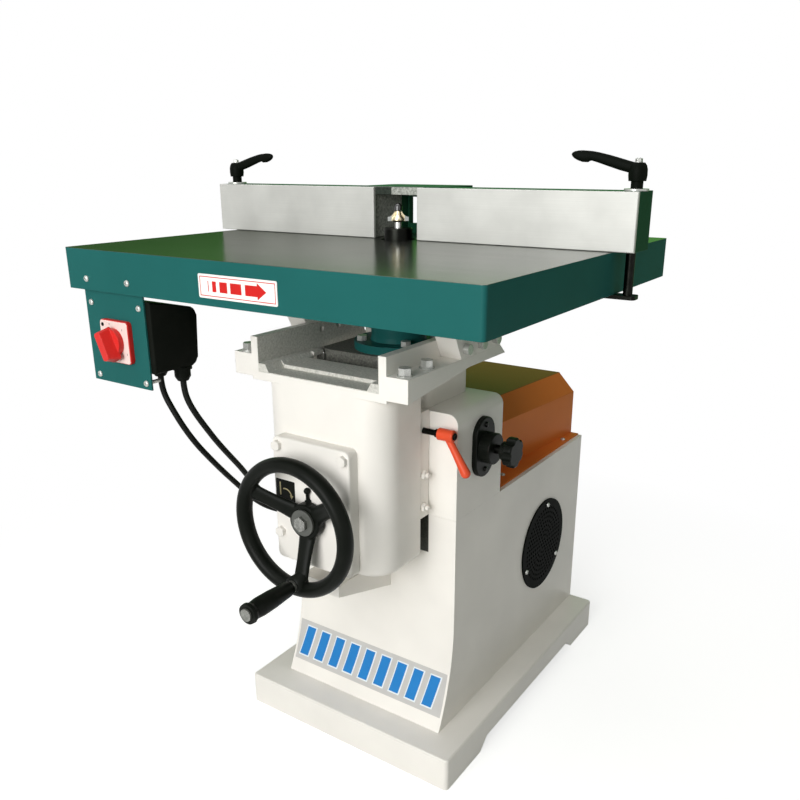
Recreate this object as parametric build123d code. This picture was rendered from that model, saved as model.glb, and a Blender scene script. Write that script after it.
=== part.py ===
from build123d import *
import os
from math import atan2, cos, pi, radians, sin, sqrt, tan

# Spindle moulder with a rise-and-fall table, in millimetres.
# Frame: spindle axis on X = 0, Y = 0, floor at Z = 0, operator on the -Y side.

# General fits
run_fit = 0.06
slide_fit = 0.1
bolt_fit = 0.15
face_gap = 0.3
overrun = 1.0

# Table
table_length = 750.0
table_width = 638.0
table_height = 900.0
table_rim = 63.0
table_web = 16.0
table_skirt = 10.0
table_front = 382.0
table_corner = 6.0
rib_width = 9.0
rib_depth = 28.0
rib_front_y = -262.0
rib_rear_y = 165.0
ring_diameter = 120.0
ring_thickness = 8.0
ring_bore = 58.0
ring_ledge = 7.0
table_bolt_bite = 9.0

# Plinth
base_half = 225.0
base_front = 189.0
base_rear = 454.0
base_height = 61.0
base_wall = 16.0
base_corner = 8.0
base_bevel = 2.5
base_mouth = 12.0
foot_front = 118.0
foot_rear = 109.0
arch_height = 21.0
arch_slope = 26.0

# Cabinet
cabinet_half = 174.0
cabinet_front = 87.0
cabinet_rear = 452.0
cabinet_top = 455.0
cabinet_sheet = 4.0
flare_start = 258.0
flare_depth = 47.0
sheet_cut = 10.0
motor_room = 6.0

# Spindle frame, the box and the neck on top of the cabinet
frame_rear = 69.0
frame_top = 640.0
frame_wall = 12.0
frame_round = 18.0
neck_half = 111.0
neck_rear = 62.0
neck_top = 716.0
neck_round = 22.0
belt_window_half = 100.0
belt_window_low = 15.0
belt_window_high = 145.0
plunger_room = 2.0

# Dovetail way on the front of the box
way_half = 88.0
way_depth = 29.0
way_flank = 30.0
way_bottom = 388.0

# Knee body
knee_half = 122.0
knee_front = 228.0
knee_round = 50.0
knee_bottom = 385.0
knee_wall = 14.0
knee_edge = 14.0
cheek_half = 120.0
cheek_bottom = 456.0
cheek_top = 643.0
cheek_gap = 1.0
cheek_lap = 2.0
gib_thickness = 10.0
gib_screw = 8.0
gib_nut = 16.0
gib_nut_height = 6.5
gib_screw_out = 12.0
window_half = 62.0
window_low = 21.0
window_high = 203.0

# Knee head: a tray open to the front, forked round the neck
flange_setback = 2.0
flange_top = 730.0
flange_thick_front = 37.0
flange_thick_rear = 17.0
flange_taper_end = -50.0
flange_rear = 72.0
flange_tail = 19.0
flange_bolt_offset = 2.0
flange_bolt_setbacks = (17.0, 76.0)
flange_washer = 24.0
flange_washer_thick = 2.0
head_depth = 15.0
tray_inner = 119.5
tray_wall = 14.5
tray_wall_setback = 12.0
tray_lip = 29.0
tray_floor = 703.0
tray_shelf = 13.0
tray_trough = 98.5
trough_slope = 8.0
tray_platform = 6.0
platform_start = -190.0
well_front = -131.0
well_half = 98.0
well_depth = 48.0
bridge_lap = 5.0
bridge_depth = 20.0
bridge_rise = 3.0
ledge_gap = 3.0
ledge_thick = 8.0

# Table brackets
bracket_front = -77.0
bracket_rear = 53.0
bracket_rake = 0.52
bracket_foot = 14.0
bracket_foot_inner = 100.0
bracket_screw_ys = (-66.0, -18.0, 30.0)
bracket_screw_z = 15.0
bracket_screw_bite = 8.0
table_bolt_inset = 14.0
table_bolt_ys = (-128.0, -16.0)

# Elevating gear
wheel_height = 480.0
screw_y = -180.0
screw_diameter = 24.0
screw_top = 610.0
screw_collar = 40.0
screw_collar_height = 4.0
screw_bevel = 2.0
screw_room = 3.0
gear_module = 2.5
pinion_teeth = 16
gear_teeth = 24
gear_face = 11.0
tooth_share = 0.36
tooth_root_share = 1.25
tooth_tip_share = 0.7
tooth_dedendum = 0.95
tooth_addendum = 0.55
tooth_sink = 0.4
gear_back = 4.0
gear_back_bevel = 2.0
pinion_hub = 30.0
pinion_hub_length = 7.0
shaft_diameter = 18.0
nut_hub = 46.0
nut_height = 40.0
nut_lead_in = 20.0
shelf_thickness = 14.0
support_half = 40.0
support_front = 236.0
support_top = 360.0
support_tip = 20.0
support_root = 65.0

# Gear cover and handwheel
cover_half = 78.0
cover_low = 391.0
cover_high = 607.0
cover_depth = 22.0
cover_plate = 11.0
cover_corner = 10.0
cover_bolt_inset = 11.0
cover_bolt_low = 440.0
cover_bolt_high = 592.0
cover_boss = 44.0
cover_boss_depth = 3.0
cover_edge = 3.0
cover_bolt_depth = 20.0
cover_pocket_drop = 30.0
cover_sleeve_step = 4.0
hub_gap = 1.0
wheel_rim = 106.5
wheel_tube = 14.5
wheel_dish = 34.0
wheel_hub = 60.0
wheel_hub_round = 3.0
wheel_hub_length = 17.0
wheel_spokes = 3
wheel_spoke_angle = 34.0
spoke_root = (34.0, 15.0)
spoke_waist = (27.0, 13.0)
spoke_tip = (31.0, 12.0)
spoke_lap = 9.0
handle_radius = 94.0
handle_length = 96.0
handle_boss = 30.0
handle_boss_depth = 8.0
handle_axle = 10.0
axle_bite = 4.0
axle_collar = 20.0
axle_collar_length = 6.0
axle_cap = 20.0
axle_cap_length = 3.5
grip_profile = (
    (11.0, 0.0),
    (12.5, 0.07),
    (15.0, 0.45),
    (15.5, 0.72),
    (14.0, 0.88),
    (16.8, 0.94),
    (16.2, 1.0),
)
hub_washer = 44.0
hub_washer_thick = 4.0
hub_hex = 22.0
hub_hex_height = 7.0

# Spindle
housing_flange = 156.0
housing_flange_thick = 14.0
housing_barrel = 96.0
housing_low = 590.0
housing_top_gap = 14.0
housing_root = 2.0
housing_root_rise = 8.0
housing_bevel = 3.0
housing_room = 6.0
housing_bolt_circle = 130.0
bearing_outer = 80.0
bearing_width = 22.0
shaft_main = 40.0
shaft_bevel = 2.0
shaft_end_room = 3.0
shaft_low = 478.0
nose_diameter = 30.0
nose_length = 20.0
chuck_diameter = 48.0
chuck_edge = 2.0
chuck_projection = 19.0
chuck_length = 57.0
bit_shank = 12.7
bit_rise = 10.0
bit_height = 18.0
bit_radius = 17.5
bit_core = 10.5
bit_seat = 10.0
bit_foot = 2.5
wing_thickness = 3.2
bit_turn = 35.0
end_nut = 14.0
end_nut_height = 5.0

# Belt drive
motor_y = 275.0
motor_diameter = 180.0
motor_length = 240.0
motor_plate_half = 104.0
motor_plate_thick = 8.0
motor_shaft_diameter = 24.0
motor_shaft_foot = 80.0
motor_shaft_stub = 6.0
motor_shaft_room = 10.0
motor_fins = 18
fin_thickness = 3.0
fin_depth = 12.0
fin_root = 8.0
fin_low = 30.0
fin_high = 22.0
motor_flange = 14.0
motor_tail = 26.0
motor_tail_step = 2.0
motor_plate_corner = 8.0
motor_plate_hole = 60.0
pulley_low = 492.0
pulley_width = 40.0
spindle_pulley_diameter = 74.0
motor_pulley_diameter = 130.0
pulley_rim = 4.0
belt_width = 30.0
belt_thickness = 5.0
lock_ring = 80.0
lock_ring_low = 552.0
lock_ring_width = 28.0
lock_neck_wall = 8.0

# Belt and motor cover, wider at the motor
hood_sheet = 2.5
hood_front_inset = 62.0
hood_rear_inset = 25.0
hood_flange_inset = 8.0
hood_chamfer = 36.0
hood_shoulder = 95.0
hood_height = 133.0
hood_fold = 0.4
hood_screw_ys = (140.0, 395.0)

# Vent in the cabinet's right side
vent_y = 273.0
vent_z = 268.0
vent_diameter = 192.0
vent_thickness = 3.0
vent_hole = 172.0
vent_screw_circle = 162.0
vent_screw_angle = 83.0
vent_screws = 3
vent_pitch = 14.0
vent_rows = 5
vent_perforation = 8.0

# Spindle lock on the right side of the box
lock_y = -7.0
lock_z = 566.0
lock_plate_height = 106.0
lock_plate_width = 64.0
lock_plate_thick = 9.0
lock_plate_edge = 2.0
lock_screw_head = (12.0, 4.0)
lock_screw_pitch = 80.0
lock_boss = 54.0
lock_boss_length = 20.0
lock_travel = 12.0
plunger_diameter = 16.0
plunger_tip = 10.0
plunger_tip_length = 14.0
plunger_rest_gap = 2.0
plunger_seat = 8.0
lock_hole_fit = 1.5
lock_hole_depth = 14.0
lock_holes = 8
knob_diameter = 52.0
knob_length = 17.0
knob_neck = 32.0
knob_neck_gap = 0.5
knob_neck_length = 8.5
knob_edge = 3.5
knob_lobes = 6
knob_flute = 9.5
knob_flute_out = 4.0

# Knee lock lever
lever_y = -105.0
lever_z = 611.0
stud_diameter = 10.0
stud_out = 30.0
stud_bite = 12.0
stud_bore_room = 0.5
stud_collar_step = 2.0
stud_collar_length = 6.0
lever_hub = 20.0
lever_hub_length = 28.0
lever_hub_round = 2.5
lever_arm = 76.0
lever_lean = 32.0
lever_girths = ((0.0, 6.6), (0.4, 6.2), (0.75, 7.2), (1.0, 8.2))
gib_screw_zs = (534.0, 476.0)

# Fence
fence_length = 820.0
fence_shift = -3.5
fence_face_y = -5.0
fence_height = 84.0
fence_lift = 0.4
plate_thickness = 6.0
fence_depth = 56.0
fence_wall = 12.0
fence_gap = 87.0
jaw_gap = 95.0
hood_half = 84.0
hood_back = 118.0
hood_wall = 12.0
hood_rise = 1.0
hood_setback = 6.0
hood_corner = 14.0
fence_end = 34.0
plate_bevel = 1.0
outlet_half = 44.0
outlet_low = 18.0
outlet_high = 64.0
clamp_inset = 15.0
rod_diameter = 14.0
rod_bite = 12.0
rod_bore_room = 0.5
hook_thickness = 6.0
hook_width = 24.0
hook_reach = 46.0
hook_heel = 14.0
hook_corner = 6.0
hook_gap = 1.0
fence_travel_front = 30.0
fence_travel_rear = 60.0
clamp_clearance = 3.0
washer_diameter = 35.0
washer_thickness = 3.0
clamp_hub = 28.0
clamp_hub_height = 25.0
clamp_neck = 19.0
clamp_neck_height = 10.0
clamp_hub_foot = 24.0
clamp_hub_crown = 17.0
clamp_hub_steps = (0.35, 0.72)
clamp_arm = 95.0
clamp_rise = 22.0
clamp_root = 0.6
clamp_girths = ((0.0, 7.4), (0.35, 6.6), (0.72, 6.8), (1.0, 8.6))
clamp_angle_left = 1.0
clamp_angle_right = 194.5

# Switch
panel_left = -349.0
panel_right = -210.0
panel_drop = 148.0
panel_sheet = 3.0
panel_overlap = 35.0
panel_screw_inset = 14.0
skirt_screw_inset = 23.0
skirt_screw_pitch = 97.0
panel_screw_low = 10.0
panel_screw_high = 21.0
panel_screw_length = 18.0
switch_x = -276.0
switch_drop = 77.0
switch_plate = 67.0
switch_plate_corner = 7.0
switch_plate_edge = 2.5
switch_neck = 30.0
switch_spindle = 12.0
switch_seat = 2.0
switch_plate_thick = 9.0
switch_box_left = -342.0
switch_box_right = -200.0
switch_box_gap = 11.0
switch_box_height = 112.0
switch_box_depth = 93.0
switch_box_fall = 16.0
switch_box_round = 16.0
knob_base = 44.0
knob_base_height = 9.0
bar_root = (24.0, 53.0)
bar_crest = (14.0, 45.0)
bar_height = 17.0
bar_round = 4.0
bar_sink = 2.0
bar_drop = 3.0
bar_turn = -24.0
gland_xs = (-272.0, -217.0)
gland_y = -303.0
gland_diameter = 26.0
gland_length = 24.0
gland_tip_step = 4.0
gland_taper = 7.0
gland_nut = 5.0
gland_nut_step = 3.0
cable_diameter = 10.0
boot_diameter = 20.0
boot_neck = 14.0
boot_neck_length = 8.0
boot_neck_lap = 4.0
boot_reach = 13.0
cable_drop = 14.0
cable_ease = 0.45

# Cable routes below the glands, chosen by eye, the last point on the boot's face
cable_a_route = [
    (-272.0, -303.0, 676.0),
    (-267.0, -302.5, 656.0),
    (-253.0, -300.0, 632.0),
    (-239.0, -292.0, 601.0),
    (-228.0, -278.0, 570.0),
    (-222.5, -257.0, 540.0),
    (-221.0, -231.0, 508.0),
    (-222.0, -202.0, 476.0),
    (-223.5, -174.5, 446.0),
    (-228.0, -149.0, 421.0),
    (-228.0, -121.0, 398.0),
    (-220.5, -97.0, 383.0),
    (-205.0, -77.0, 374.0),
    (-187.0, -62.0, 374.0),
]
cable_b_route = [
    (-217.0, -303.0, 676.0),
    (-212.0, -302.0, 656.0),
    (-202.5, -296.0, 633.0),
    (-197.0, -282.0, 607.0),
    (-196.0, -261.0, 576.0),
    (-197.0, -236.0, 545.0),
    (-200.0, -208.0, 513.0),
    (-206.0, -180.0, 479.0),
    (-213.0, -151.0, 446.0),
    (-219.0, -122.0, 420.0),
    (-222.0, -92.0, 399.0),
    (-217.0, -66.0, 385.0),
    (-204.0, -45.0, 378.0),
    (-187.0, -28.0, 378.0),
]

# Derived places
table_under = table_height - table_web
rim_low = table_height - table_rim
flange_half = cabinet_half - flange_setback
hood_front_half = cabinet_half - hood_front_inset
hood_rear_half = cabinet_half - hood_rear_inset
hood_flange = cabinet_half - hood_flange_inset
panel_low = rim_low - panel_drop
switch_z = rim_low - switch_drop
switch_box_high = rim_low - switch_box_gap
switch_box_low = switch_box_high - switch_box_height
table_y0 = -table_front
table_y1 = table_y0 + table_width
skirt_inner_y = table_y0 + table_skirt
way_front = cabinet_front + way_depth
flank_run = tan(radians(way_flank))
way_root = way_half - way_depth * flank_run
knee_back = way_front + slide_fit
tray_outer = tray_inner + tray_wall
tray_top = flange_top + tray_lip
flange_low_rear = flange_top - flange_thick_rear
pinion_radius = gear_module * pinion_teeth / 2
gear_radius = gear_module * gear_teeth / 2
gear_plane = wheel_height + pinion_radius
pinion_plane = screw_y - gear_radius
nut_top = gear_plane + nut_height
cover_front = knee_front + cover_depth
hub_back = cover_front + cover_boss_depth + hub_gap
hub_front = hub_back + wheel_hub_length
rim_y = -(hub_back + wheel_hub_length / 2 + wheel_dish)
handle_angle = radians(wheel_spoke_angle + 2 * 360.0 / wheel_spokes)
handle_x = handle_radius * cos(handle_angle)
handle_z = wheel_height + handle_radius * sin(handle_angle)
handle_root = rim_y - wheel_tube
grip_start = handle_root - axle_collar_length
chuck_top = table_height + chuck_projection
chuck_low = chuck_top - chuck_length
housing_top = chuck_low - housing_top_gap
lock_face = cabinet_half + lock_plate_thick
neck_back = lock_face + lock_boss_length + lock_travel + knob_neck_gap
knob_back = neck_back + knob_neck_length
fence_low = table_height + fence_lift
fence_high = table_height + fence_height
fence_y0 = fence_face_y + plate_thickness
fence_y1 = fence_y0 + fence_depth
fence_x0 = fence_shift - fence_length / 2
fence_x1 = fence_shift + fence_length / 2
clamp_y = (fence_y0 + fence_y1) / 2
clamp_xs = (fence_x0 + clamp_inset, fence_x1 - clamp_inset)
panel_y = skirt_inner_y + panel_sheet
chuck_bore_top = chuck_low + nose_length


def block(x0, x1, y0, y1, z0, z1):
    """Box between two corners."""
    solid = Box(x1 - x0, y1 - y0, z1 - z0)
    return Pos((x0 + x1) / 2, (y0 + y1) / 2, (z0 + z1) / 2) * solid


def rod_x(radius, x0, x1, y, z):
    """Cylinder along X."""
    return Pos((x0 + x1) / 2, y, z) * Rot(0, 90, 0) * Cylinder(radius, x1 - x0)


def rod_y(radius, x, y0, y1, z):
    """Cylinder along Y."""
    return Pos(x, (y0 + y1) / 2, z) * Rot(90, 0, 0) * Cylinder(radius, y1 - y0)


def rod_z(radius, x, y, z0, z1):
    """Cylinder along Z."""
    return Pos(x, y, (z0 + z1) / 2) * Cylinder(radius, z1 - z0)


def side_profile(points, x0, x1):
    """Polygon of (Y, Z) points, extruded from x0 to x1."""
    face = make_face(Polyline(*points, close=True))
    return Pos(x0, 0, 0) * extrude(Plane.YZ * face, amount=x1 - x0)


def front_profile(points, y0, y1):
    """Polygon of (X, Z) points, extruded from y0 to y1."""
    face = make_face(Polyline(*points, close=True))
    return Pos(0, y1, 0) * extrude(Plane.XZ * face, amount=y1 - y0)


def plan_profile(points, z0, z1):
    """Polygon of (X, Y) points, extruded from z0 to z1."""
    face = make_face(Polyline(*points, close=True))
    return Pos(0, 0, z0) * extrude(face, amount=z1 - z0)


def turned(points):
    """Polygon of (radius, height) points, revolved about Z."""
    face = make_face(Polyline(*points, close=True))
    return revolve(Plane.XZ * face, axis=Axis.Z)


def mirrored(solid):
    """The solid and its mirror image across X = 0."""
    return [solid, mirror(solid, about=Plane.YZ)]


def group(*parts):
    """Separate solids that share one node."""
    solids = []
    for part in parts:
        solids += list(part.solids())
    return Compound(solids)


def hex_bolt(across, head, shank, length):
    """Hexagon bolt, head on +Z, seat at Z = 0."""
    hexagon = extrude(RegularPolygon(across / 2, 6, major_radius=False), amount=head)
    return hexagon + rod_z(shank / 2, 0, 0, -length, 0)


def cap_screw(diameter, head, shank, length):
    """Round-headed screw, head on +Z, seat at Z = 0."""
    return rod_z(diameter / 2, 0, 0, 0, head) + rod_z(shank / 2, 0, 0, -length, 0)


def facing(x, y, z, direction):
    """Place whose +Z looks along a direction."""
    return Plane(origin=(x, y, z), z_dir=direction).location


# Fasteners, one size each
cover_bolt = dict(across=16.0, head=7.0, shank=10.0, length=14.0)
flange_bolt = dict(across=18.0, head=11.0, shank=12.0, length=24.0)
housing_bolt = dict(across=16.0, head=9.0, shank=10.0, length=22.0)
table_bolt = dict(across=18.0, head=9.0, shank=12.0, length=22.0)
bracket_screw_length = flange_half - tray_outer + bracket_screw_bite
bracket_screw = dict(diameter=17.0, head=10.0, shank=10.0, length=bracket_screw_length)
small_screw = dict(diameter=9.0, head=3.0, shank=5.0, length=9.0)


def make_base_frame():
    """Plinth with two feet across the machine and an open middle."""
    shell = block(-base_half, base_half, -base_front, base_rear, 0, base_height)
    shell = fillet(shell.edges().filter_by(Axis.Z), base_corner)
    shell = chamfer(shell.faces().sort_by(Axis.Z)[-1].edges(), base_bevel)
    well = block(
        -base_half + base_wall,
        base_half - base_wall,
        -base_front + base_wall,
        base_rear - base_wall,
        -overrun,
        base_height - base_wall / 2,
    )
    mouth = block(
        -cabinet_half + base_mouth,
        cabinet_half - base_mouth,
        -cabinet_front,
        cabinet_rear - base_mouth,
        0,
        base_height + overrun,
    )
    arch_y0 = -base_front + foot_front
    arch_y1 = base_rear - foot_rear
    arch = side_profile(
        [
            (arch_y0, -overrun),
            (arch_y1, -overrun),
            (arch_y1 - arch_slope, arch_height),
            (arch_y0 + arch_slope, arch_height),
        ],
        -base_half - overrun,
        base_half + overrun,
    )
    return shell - well - mouth - arch


def cabinet_outline(inset, z_low, z_high):
    """Side outline of the cabinet, flared at the front foot, inset by a wall."""
    drop = flare_start - base_height
    radius = (drop**2 + flare_depth**2) / (2 * flare_depth)
    centre_y = -cabinet_front - radius
    arc_radius = radius + inset
    low = flare_start - z_low
    half = atan2(low, sqrt(arc_radius**2 - low**2)) / 2
    mid = (centre_y + arc_radius * cos(half), flare_start - arc_radius * sin(half))
    foot = (centre_y + sqrt(arc_radius**2 - low**2), z_low)
    front = -cabinet_front + inset
    back = cabinet_rear - inset
    curve = ThreePointArc((front, flare_start), mid, foot)
    lines = Polyline(foot, (back, z_low), (back, z_high), (front, z_high), (front, flare_start))
    return make_face([curve, lines])


def make_cabinet_shell():
    """Folded cabinet, open below, with openings for the spindle, motor and vent."""
    outer = extrude(Plane.YZ * cabinet_outline(0, base_height, cabinet_top), amount=cabinet_half, both=True)
    inner_face = cabinet_outline(cabinet_sheet, base_height - run_fit, cabinet_top - cabinet_sheet)
    inner = extrude(Plane.YZ * inner_face, amount=cabinet_half - cabinet_sheet, both=True)
    shell = outer - inner
    half = cabinet_half - 2 * frame_wall
    margin = frame_wall + sheet_cut
    low = cabinet_top - sheet_cut
    high = cabinet_top + overrun
    shell -= block(-half, half, -cabinet_front + margin, frame_rear - margin, low, high)
    room = motor_diameter / 2 + motor_room
    shell -= block(-room, room, motor_y - room, motor_y + room, low, high)
    shell -= rod_x(vent_hole / 2, cabinet_half - sheet_cut, cabinet_half + overrun, vent_y, vent_z)
    for seat in boot_seats():
        hole = boot_neck / 2 + bolt_fit
        shell -= rod_x(hole, -cabinet_half - overrun, -cabinet_half + sheet_cut, seat.Y, seat.Z)
    return shell


def cable_points(gland_x, route):
    """Gland face and route; its upper points follow the gland, its lower ones the cabinet's side."""
    gland_face = Vector(gland_x, gland_y, switch_box_low - gland_length)
    points = [Vector(*place) for place in route]
    top_shift = gland_face - Vector(0, 0, cable_drop) - points[0]
    end_shift = Vector(-cabinet_half - boot_reach - points[-1].X, 0, 0)
    eased = [gland_face]
    for index, point in enumerate(points):
        share = min(max((index - 1) / (len(points) - 3), 0.0), 1.0)
        eased.append(point + top_shift * (1 - share) + end_shift * share)
    return eased


def cable_runs():
    """Points of both cables, from gland to boot."""
    return [cable_points(x, route) for x, route in zip(gland_xs, (cable_a_route, cable_b_route))]


def boot_axis(points):
    """Direction in which a cable enters its boot."""
    return (points[-1] - points[-2]).normalized()


def boot_seats():
    """Where the two boots' axes meet the cabinet's left side."""
    seats = []
    for points in cable_runs():
        axis = boot_axis(points)
        seats.append(points[-1] + axis * ((-cabinet_half - points[-1].X) / axis.X))
    return seats


def make_spindle_frame():
    """Cast box on the cabinet, with the neck that carries the spindle housing."""
    box = block(-cabinet_half, cabinet_half, -cabinet_front, frame_rear, cabinet_top, frame_top)
    shoulders = box.edges().filter_by(Axis.Y).group_by(Axis.Z)[-1]
    box = fillet(shoulders, frame_round)
    neck = block(-neck_half, neck_half, -cabinet_front, neck_rear, frame_top - overrun, neck_top)
    neck = fillet(neck.edges().filter_by(Axis.Z), neck_round)
    hollow = block(
        -cabinet_half + frame_wall,
        cabinet_half - frame_wall,
        -cabinet_front + frame_wall,
        frame_rear - frame_wall,
        cabinet_top - overrun,
        frame_top - frame_wall,
    )
    window = block(
        -belt_window_half,
        belt_window_half,
        frame_rear - frame_wall - overrun,
        frame_rear + overrun,
        cabinet_top + belt_window_low,
        cabinet_top + belt_window_high,
    )
    bore = rod_z(housing_barrel / 2 + run_fit, 0, 0, frame_top - frame_wall - overrun, neck_top + overrun)
    wall_inside = cabinet_half - frame_wall - overrun
    plunger_path = plunger_diameter / 2 + plunger_room
    lock_bore = rod_x(plunger_path, wall_inside, cabinet_half + overrun, lock_y, lock_z)
    frame = box + neck - hollow - window - bore - lock_bore
    for place in housing_bolt_places():
        radius = housing_bolt["shank"] / 2 + bolt_fit
        frame -= place * rod_z(radius, 0, 0, -housing_bolt["length"] - overrun, overrun)
    return frame


def housing_bolt_places():
    """Four places on the housing flange, between the axes."""
    radius = housing_bolt_circle / 2
    top = neck_top + housing_flange_thick
    return [Pos(radius * cos(a), radius * sin(a), top) for a in (pi / 4 + k * pi / 2 for k in range(4))]


def way_plan(front_half, root_half, y_front, y_root):
    """Dovetail outline in plan, wider at the front."""
    return [(-front_half, y_front), (front_half, y_front), (root_half, y_root), (-root_half, y_root)]


def make_dovetail_way():
    """Dovetail slide bolted to the front of the box and cabinet."""
    plan = way_plan(way_half, way_root, -way_front, -cabinet_front)
    return plan_profile(plan, way_bottom, frame_top)


def make_screw_bracket():
    """Gusset on the cabinet front that the elevating screw stands on."""
    gusset = side_profile(
        [
            (-cabinet_front, support_top),
            (-support_front, support_top),
            (-support_front, support_top - support_tip),
            (-cabinet_front, support_top - support_root),
        ],
        -support_half,
        support_half,
    )
    seat = rod_z(screw_diameter / 2 + bolt_fit, 0, screw_y, support_top - support_root, support_top + overrun)
    return gusset - seat


def make_elevating_screw():
    """Fixed screw with a seating collar."""
    seat = support_top - support_tip
    screw = rod_z(screw_diameter / 2, 0, screw_y, seat, screw_top)
    screw = chamfer(screw.edges().group_by(Axis.Z)[-1], screw_bevel)
    return screw + rod_z(screw_collar / 2, 0, screw_y, support_top, support_top + screw_collar_height)


def make_knee_casting():
    """Knee: hollow body with dovetail cheeks, forked tray head and flanges."""
    plan = block(-knee_half, knee_half, -knee_front, -knee_back, knee_bottom, tray_floor)
    plan = fillet(plan.edges().filter_by(Axis.Z).group_by(Axis.Y)[0], knee_round)
    body = fillet(plan.faces().sort_by(Axis.Z)[0].edges().group_by(Axis.Y)[0:-1], knee_edge)
    head_low = tray_floor - head_depth
    head = block(-tray_outer, tray_outer, -knee_front, well_front, head_low, tray_floor + tray_shelf)
    flange = side_profile(
        [
            (-knee_front, flange_top),
            (flange_rear - flange_tail, flange_top),
            (flange_rear, flange_low_rear),
            (flange_taper_end, flange_low_rear),
            (-knee_front, flange_top - flange_thick_front),
        ],
        tray_inner,
        flange_half,
    )
    wall_rear = flange_rear - tray_wall_setback
    wall = block(tray_inner, tray_outer, -knee_front, wall_rear, flange_low_rear, tray_top)
    knee = body + head
    bridge_low = tray_floor - bridge_depth
    bridge_high = flange_low_rear + bridge_rise
    knee += block(-knee_half, knee_half, well_front - bridge_lap, -knee_back, bridge_low, bridge_high)
    ledge = block(
        well_half,
        tray_outer,
        -knee_back - bridge_lap,
        -cabinet_front - ledge_gap,
        bridge_high - ledge_thick,
        bridge_high,
    )
    for piece in mirrored(flange) + mirrored(wall) + mirrored(ledge):
        knee += piece
    knee -= make_tray_trough()
    knee += make_cheeks()
    knee -= block(-well_half, well_half, well_front, -knee_back + overrun, tray_floor - well_depth, tray_top)
    knee -= make_knee_hollow()
    return knee - make_knee_holes()


def make_tray_trough():
    """What is cut from the head: a shallow trough with a raised rear platform."""
    shelf_z = tray_floor + tray_shelf
    slope = tray_trough + trough_slope
    above = shelf_z + overrun
    trough = front_profile(
        [(-tray_trough, tray_floor), (tray_trough, tray_floor), (slope, above), (-slope, above)],
        -knee_front - overrun,
        platform_start,
    )
    platform_z = tray_floor + tray_platform
    rear = front_profile(
        [(-tray_trough, platform_z), (tray_trough, platform_z), (slope, above), (-slope, above)],
        platform_start - overrun,
        -knee_back + overrun,
    )
    return trough + rear


def make_cheeks():
    """Cheeks each side of the way, the right one set off by the gib."""
    front_y = -knee_back - cheek_lap
    back_y = -cabinet_front - cheek_gap
    gib_run = gib_thickness / cos(radians(way_flank))

    def flank(y, offset):
        return way_half + offset - (y + way_front) * flank_run

    right_plan = [
        (flank(front_y, gib_run + 2 * slide_fit), front_y),
        (cheek_half, front_y),
        (cheek_half, back_y),
        (flank(back_y, gib_run + 2 * slide_fit), back_y),
    ]
    left_plan = [
        (-flank(front_y, 2 * slide_fit), front_y),
        (-cheek_half, front_y),
        (-cheek_half, back_y),
        (-flank(back_y, 2 * slide_fit), back_y),
    ]
    left = plan_profile(left_plan, cheek_bottom, cheek_top)
    return left + plan_profile(right_plan, cheek_bottom, cheek_top)


def make_knee_hollow():
    """Gear chamber with a thrust shelf above the gear, open to the front window."""
    inner_half = knee_half - 2 * knee_wall
    back = -knee_back - knee_wall
    front = -knee_front + knee_wall
    shelf_low = nut_top + face_gap
    lower = block(-inner_half, inner_half, front, back, knee_bottom + knee_wall, shelf_low)
    upper_top = tray_floor - well_depth - knee_wall
    upper = block(-inner_half, inner_half, front, back, shelf_low + shelf_thickness, upper_top)
    window = block(
        -window_half,
        window_half,
        -knee_front - overrun,
        front + overrun,
        knee_bottom + window_low,
        knee_bottom + window_high,
    )
    screw_path = rod_z(screw_diameter / 2 + screw_room, 0, screw_y, knee_bottom - overrun, upper_top)
    return lower + upper + window + screw_path


def make_knee_holes():
    """Holes for the gib screws, lock stud, cover bolts, flange bolts and bracket screws."""
    inner = way_root
    holes = rod_x(stud_diameter / 2 + run_fit, inner, cheek_half + overrun, lever_y, lever_z)
    for z in gib_screw_zs:
        holes += rod_x(gib_screw / 2 + bolt_fit, inner, cheek_half + overrun, lever_y, z)
    for x, z in cover_bolt_places():
        radius = cover_bolt["shank"] / 2 + bolt_fit
        holes += rod_y(radius, x, -knee_front - overrun, -knee_front + cover_bolt_depth, z)
    for x, y in flange_bolt_places():
        depth = flange_bolt["length"] + overrun
        holes += rod_z(flange_bolt["shank"] / 2 + bolt_fit, x, y, flange_top - depth, flange_top + overrun)
    for y in bracket_screw_ys:
        hole = rod_x(
            bracket_screw["shank"] / 2 + bolt_fit,
            tray_inner - overrun,
            tray_outer + overrun,
            y,
            flange_top + bracket_screw_z,
        )
        for piece in mirrored(hole):
            holes += piece
    return holes


def cover_bolt_places():
    """(X, Z) of the gear cover's bolts."""
    x = cover_half - cover_bolt_inset
    return [(sx * x, z) for sx in (-1, 1) for z in (cover_bolt_low, cover_bolt_high)]


def flange_bolt_places():
    """(X, Y) of the bolts on the flanges."""
    x = (tray_outer + flange_half) / 2 + flange_bolt_offset
    return [(sx * x, -knee_front + setback) for sx in (-1, 1) for setback in flange_bolt_setbacks]


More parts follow.
